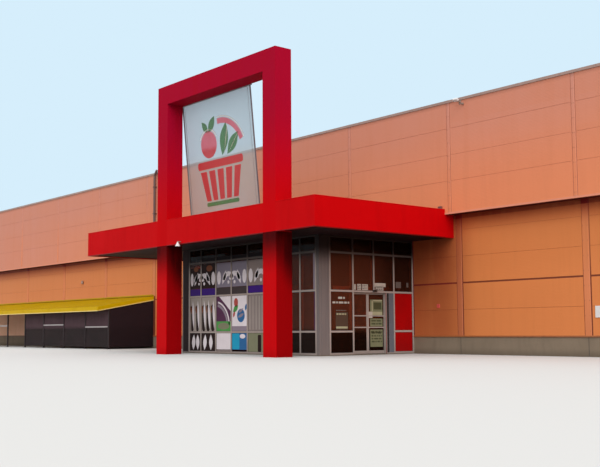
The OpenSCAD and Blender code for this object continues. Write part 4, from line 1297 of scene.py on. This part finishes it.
class HALL_OT_fix_fittings(bpy.types.Operator):
    """Lamps, plates and small boxes on the walls and the canopy"""
    bl_idname = "hall.fix_fittings"
    bl_label = "Fittings"

    def execute(self, context):
        eave, front = FASCIA_FRONT, BAND_LOW.y - 0.004
        cone = lathe([(0.018, 0.0), (0.022, 0.02), (0.055, 0.085), (0.058, 0.092), (0.05, 0.092),
                      (0.01, 0.08)], 24)
        arm = [((-0.135, eave - 0.065, 2.440), (-0.085, eave, 2.462))]
        head = boxes([((-0.06, -0.035, -0.026), (0.06, 0.035, 0.026))], 0.01)
        bracket = [((4.827, front - 0.13, 5.150), (4.853, front, 5.168)),
                   ((4.81, front - 0.006, 5.11), (4.87, front, 5.20)),
                   ((4.90, front - 0.04, 5.09), (4.94, front, 5.13))]
        shade = lathe([(0.038, 0.0), (0.042, 0.016), (0.034, 0.09), (0.015, 0.112)], 20)
        plate = [((3.87, -0.012, 0.965), (3.95, -0.002, 1.045))]
        notice = [((7.66, -0.018, 0.71), (7.82, -0.006, 0.92))]
        junction = [((4.22, -0.32, 2.992), (4.31, -0.268, 3.058))]
        hung = at(-0.125, eave - 0.055, 2.445) @ turned("X", 180)
        tilted = at(4.84, front - 0.14, 5.185) @ turned("X", -35)
        fittings = (
            ("canopy_lamp", placed(cone, hung), "fitting_white", "frame_aluminium"),
            ("canopy_lamp_arm", boxes(arm, 0.004), "fitting_grey", "frame_aluminium"),
            ("parapet_lamp_head", placed(head, tilted), "fitting_white", "frame_aluminium"),
            ("parapet_lamp_arm", boxes(bracket, 0.004), "fitting_grey", "frame_aluminium"),
            ("band_downpipe", downpipe(front), "downpipe_dark", "wall_trim"),
            ("wall_lamp", placed(shade, at(-12.055, -0.043, 2.13)), "fitting_grey", "frame_aluminium"),
            ("call_plate", boxes(plate, 0.003), "plate_pink", "wall_trim"),
            ("wall_notice", boxes(notice, 0.003), "fitting_white", "wall_trim"),
            ("canopy_junction_box", boxes(junction, 0.006), "fitting_reddish", "frame_aluminium"),
        )
        for name, mesh, tone, slot in fittings:
            piece(name, mesh, small(tone), slot)
        return {"FINISHED"}


# The camera's picture, focal length and middle row in pixels, its place and its angles
PICTURE_WIDE, PICTURE_TALL = 600, 467
FOCAL_PIXELS, MIDDLE_ROW = 949.13, 244.115
SENSOR = 36.0
CAMERA_PLACE = (17.3609, -15.1128, 0.5048)
YAW, PITCH, ROLL = (math.radians(angle) for angle in (49.939, 5.2127, -0.3347))

# How far the floor and the view reach in metres, and which way the lamp shines
FLOOR_REACH, VIEW_REACH = 900, 500.0
LAMP_WAY = (-1.1, 0.9, -0.9)


class HALL_OT_set_stage(bpy.types.Operator):
    """Camera, pale floor, backdrop and soft light"""
    bl_idname = "hall.set_stage"
    bl_label = "Stage"

    def execute(self, context):
        s = context.scene.hall_stage
        scene = context.scene
        scene.view_settings.view_transform = "Standard"
        self.add_camera(scene)
        self.add_floor(scene, s)
        self.add_light(scene, s)
        return {"FINISHED"}

    def add_camera(self, scene):
        data = bpy.data.cameras.new("photo_camera")
        data.sensor_width = SENSOR
        data.lens = FOCAL_PIXELS / PICTURE_WIDE * SENSOR
        data.shift_y = (MIDDLE_ROW - PICTURE_TALL / 2) / PICTURE_WIDE
        data.clip_end = VIEW_REACH
        camera = bpy.data.objects.new("photo_camera", data)
        scene.collection.objects.link(camera)
        level = math.cos(PITCH)
        forward = Vector((-math.sin(YAW) * level, math.cos(YAW) * level, math.sin(PITCH)))
        right = Vector((math.cos(YAW), math.sin(YAW), 0))
        up = right.cross(forward)
        right, up = (math.cos(ROLL) * right + math.sin(ROLL) * up,
                     math.cos(ROLL) * up - math.sin(ROLL) * right)
        camera.matrix_world = at(*CAMERA_PLACE) @ Matrix((right, up, -forward)).transposed().to_4x4()
        scene.camera = camera

    def add_floor(self, scene, s):
        bm = bmesh.new()
        bmesh.ops.create_grid(bm, x_segments=1, y_segments=1, size=FLOOR_REACH)
        floor = bpy.data.objects.new("floor", mesh_of(bm))
        scene.collection.objects.link(floor)
        ground = bpy.data.materials.new("floor_pale")
        ground.use_nodes = True
        graph = Graph(ground.node_tree)
        shader = ground.node_tree.nodes["Principled BSDF"]
        graph.feed(shader.inputs["Base Color"], graph.mix(graph.seen(), tuple(s.paving), tuple(s.floor)))
        shader.inputs["Roughness"].default_value = 0.9
        shader.inputs["Specular IOR Level"].default_value = 0.1
        floor.data.materials.append(ground)

    def add_light(self, scene, s):
        world = bpy.data.worlds.new("studio")
        world.use_nodes = True
        scene.world = world
        world.node_tree.nodes.clear()
        graph = Graph(world.node_tree)
        way = graph.add("ShaderNodeTexCoord").outputs["Generated"]
        height = graph.add("ShaderNodeSeparateXYZ", {0: way}).outputs["Z"]
        strength = graph.ease(height, 0.0, 1.0, s.horizon, s.zenith)
        light = graph.add("ShaderNodeBackground", {"Color": (1, 1, 1, 1), "Strength": strength})
        backdrop = graph.add("ShaderNodeBackground", {"Color": tuple(s.sky), "Strength": 1.0})
        mixed = graph.add("ShaderNodeMixShader", {
            0: graph.seen(), 1: light.outputs[0], 2: backdrop.outputs[0]})
        graph.add("ShaderNodeOutputWorld", {"Surface": mixed.outputs[0]})
        sun = bpy.data.lights.new("key_lamp", "SUN")
        sun.energy = s.key_light
        sun.angle = math.radians(60)
        lamp = bpy.data.objects.new("key_lamp", sun)
        lamp.rotation_euler = Vector(LAMP_WAY).to_track_quat("-Z", "Y").to_euler()
        scene.collection.objects.link(lamp)


class HALL_PT_sidebar(bpy.types.Panel):
    """Lists the hall's groups of pieces"""
    bl_idname = "HALL_PT_sidebar"
    bl_label = "Supermarket hall"
    bl_space_type = "VIEW_3D"
    bl_region_type = "UI"
    bl_category = "Hall"

    def draw(self, context):
        for operator in OPERATORS:
            self.layout.operator(operator.bl_idname)


SETTINGS = {
    "hall_walls": WallSettings, "hall_canopy": CanopySettings, "hall_glazing": GlazingSettings,
    "hall_sign": SignSettings, "hall_lean_to": LeanToSettings, "hall_stage": StageSettings,
}
OPERATORS = (
    HALL_OT_set_stage, HALL_OT_panel_walls, HALL_OT_trim_walls, HALL_OT_cover_roofs,
    HALL_OT_dress_canopy, HALL_OT_dress_sign, HALL_OT_glaze_vestibule, HALL_OT_fit_doors,
    HALL_OT_apply_films, HALL_OT_dress_lean_to, HALL_OT_fix_fittings,
)


def register():
    for cls in (*SETTINGS.values(), *OPERATORS, HALL_PT_sidebar):
        bpy.utils.register_class(cls)
    for name, cls in SETTINGS.items():
        setattr(bpy.types.Scene, name, bpy.props.PointerProperty(type=cls))


def unregister():
    for name in SETTINGS:
        delattr(bpy.types.Scene, name)
    for cls in (HALL_PT_sidebar, *reversed(OPERATORS), *SETTINGS.values()):
        bpy.utils.unregister_class(cls)


def main():
    register()
    build_shader_groups()
    build_rows_tree()
    for operator in OPERATORS:
        group, name = operator.bl_idname.split(".")
        getattr(getattr(bpy.ops, group), name)()


if __name__ == "__main__":
    main()
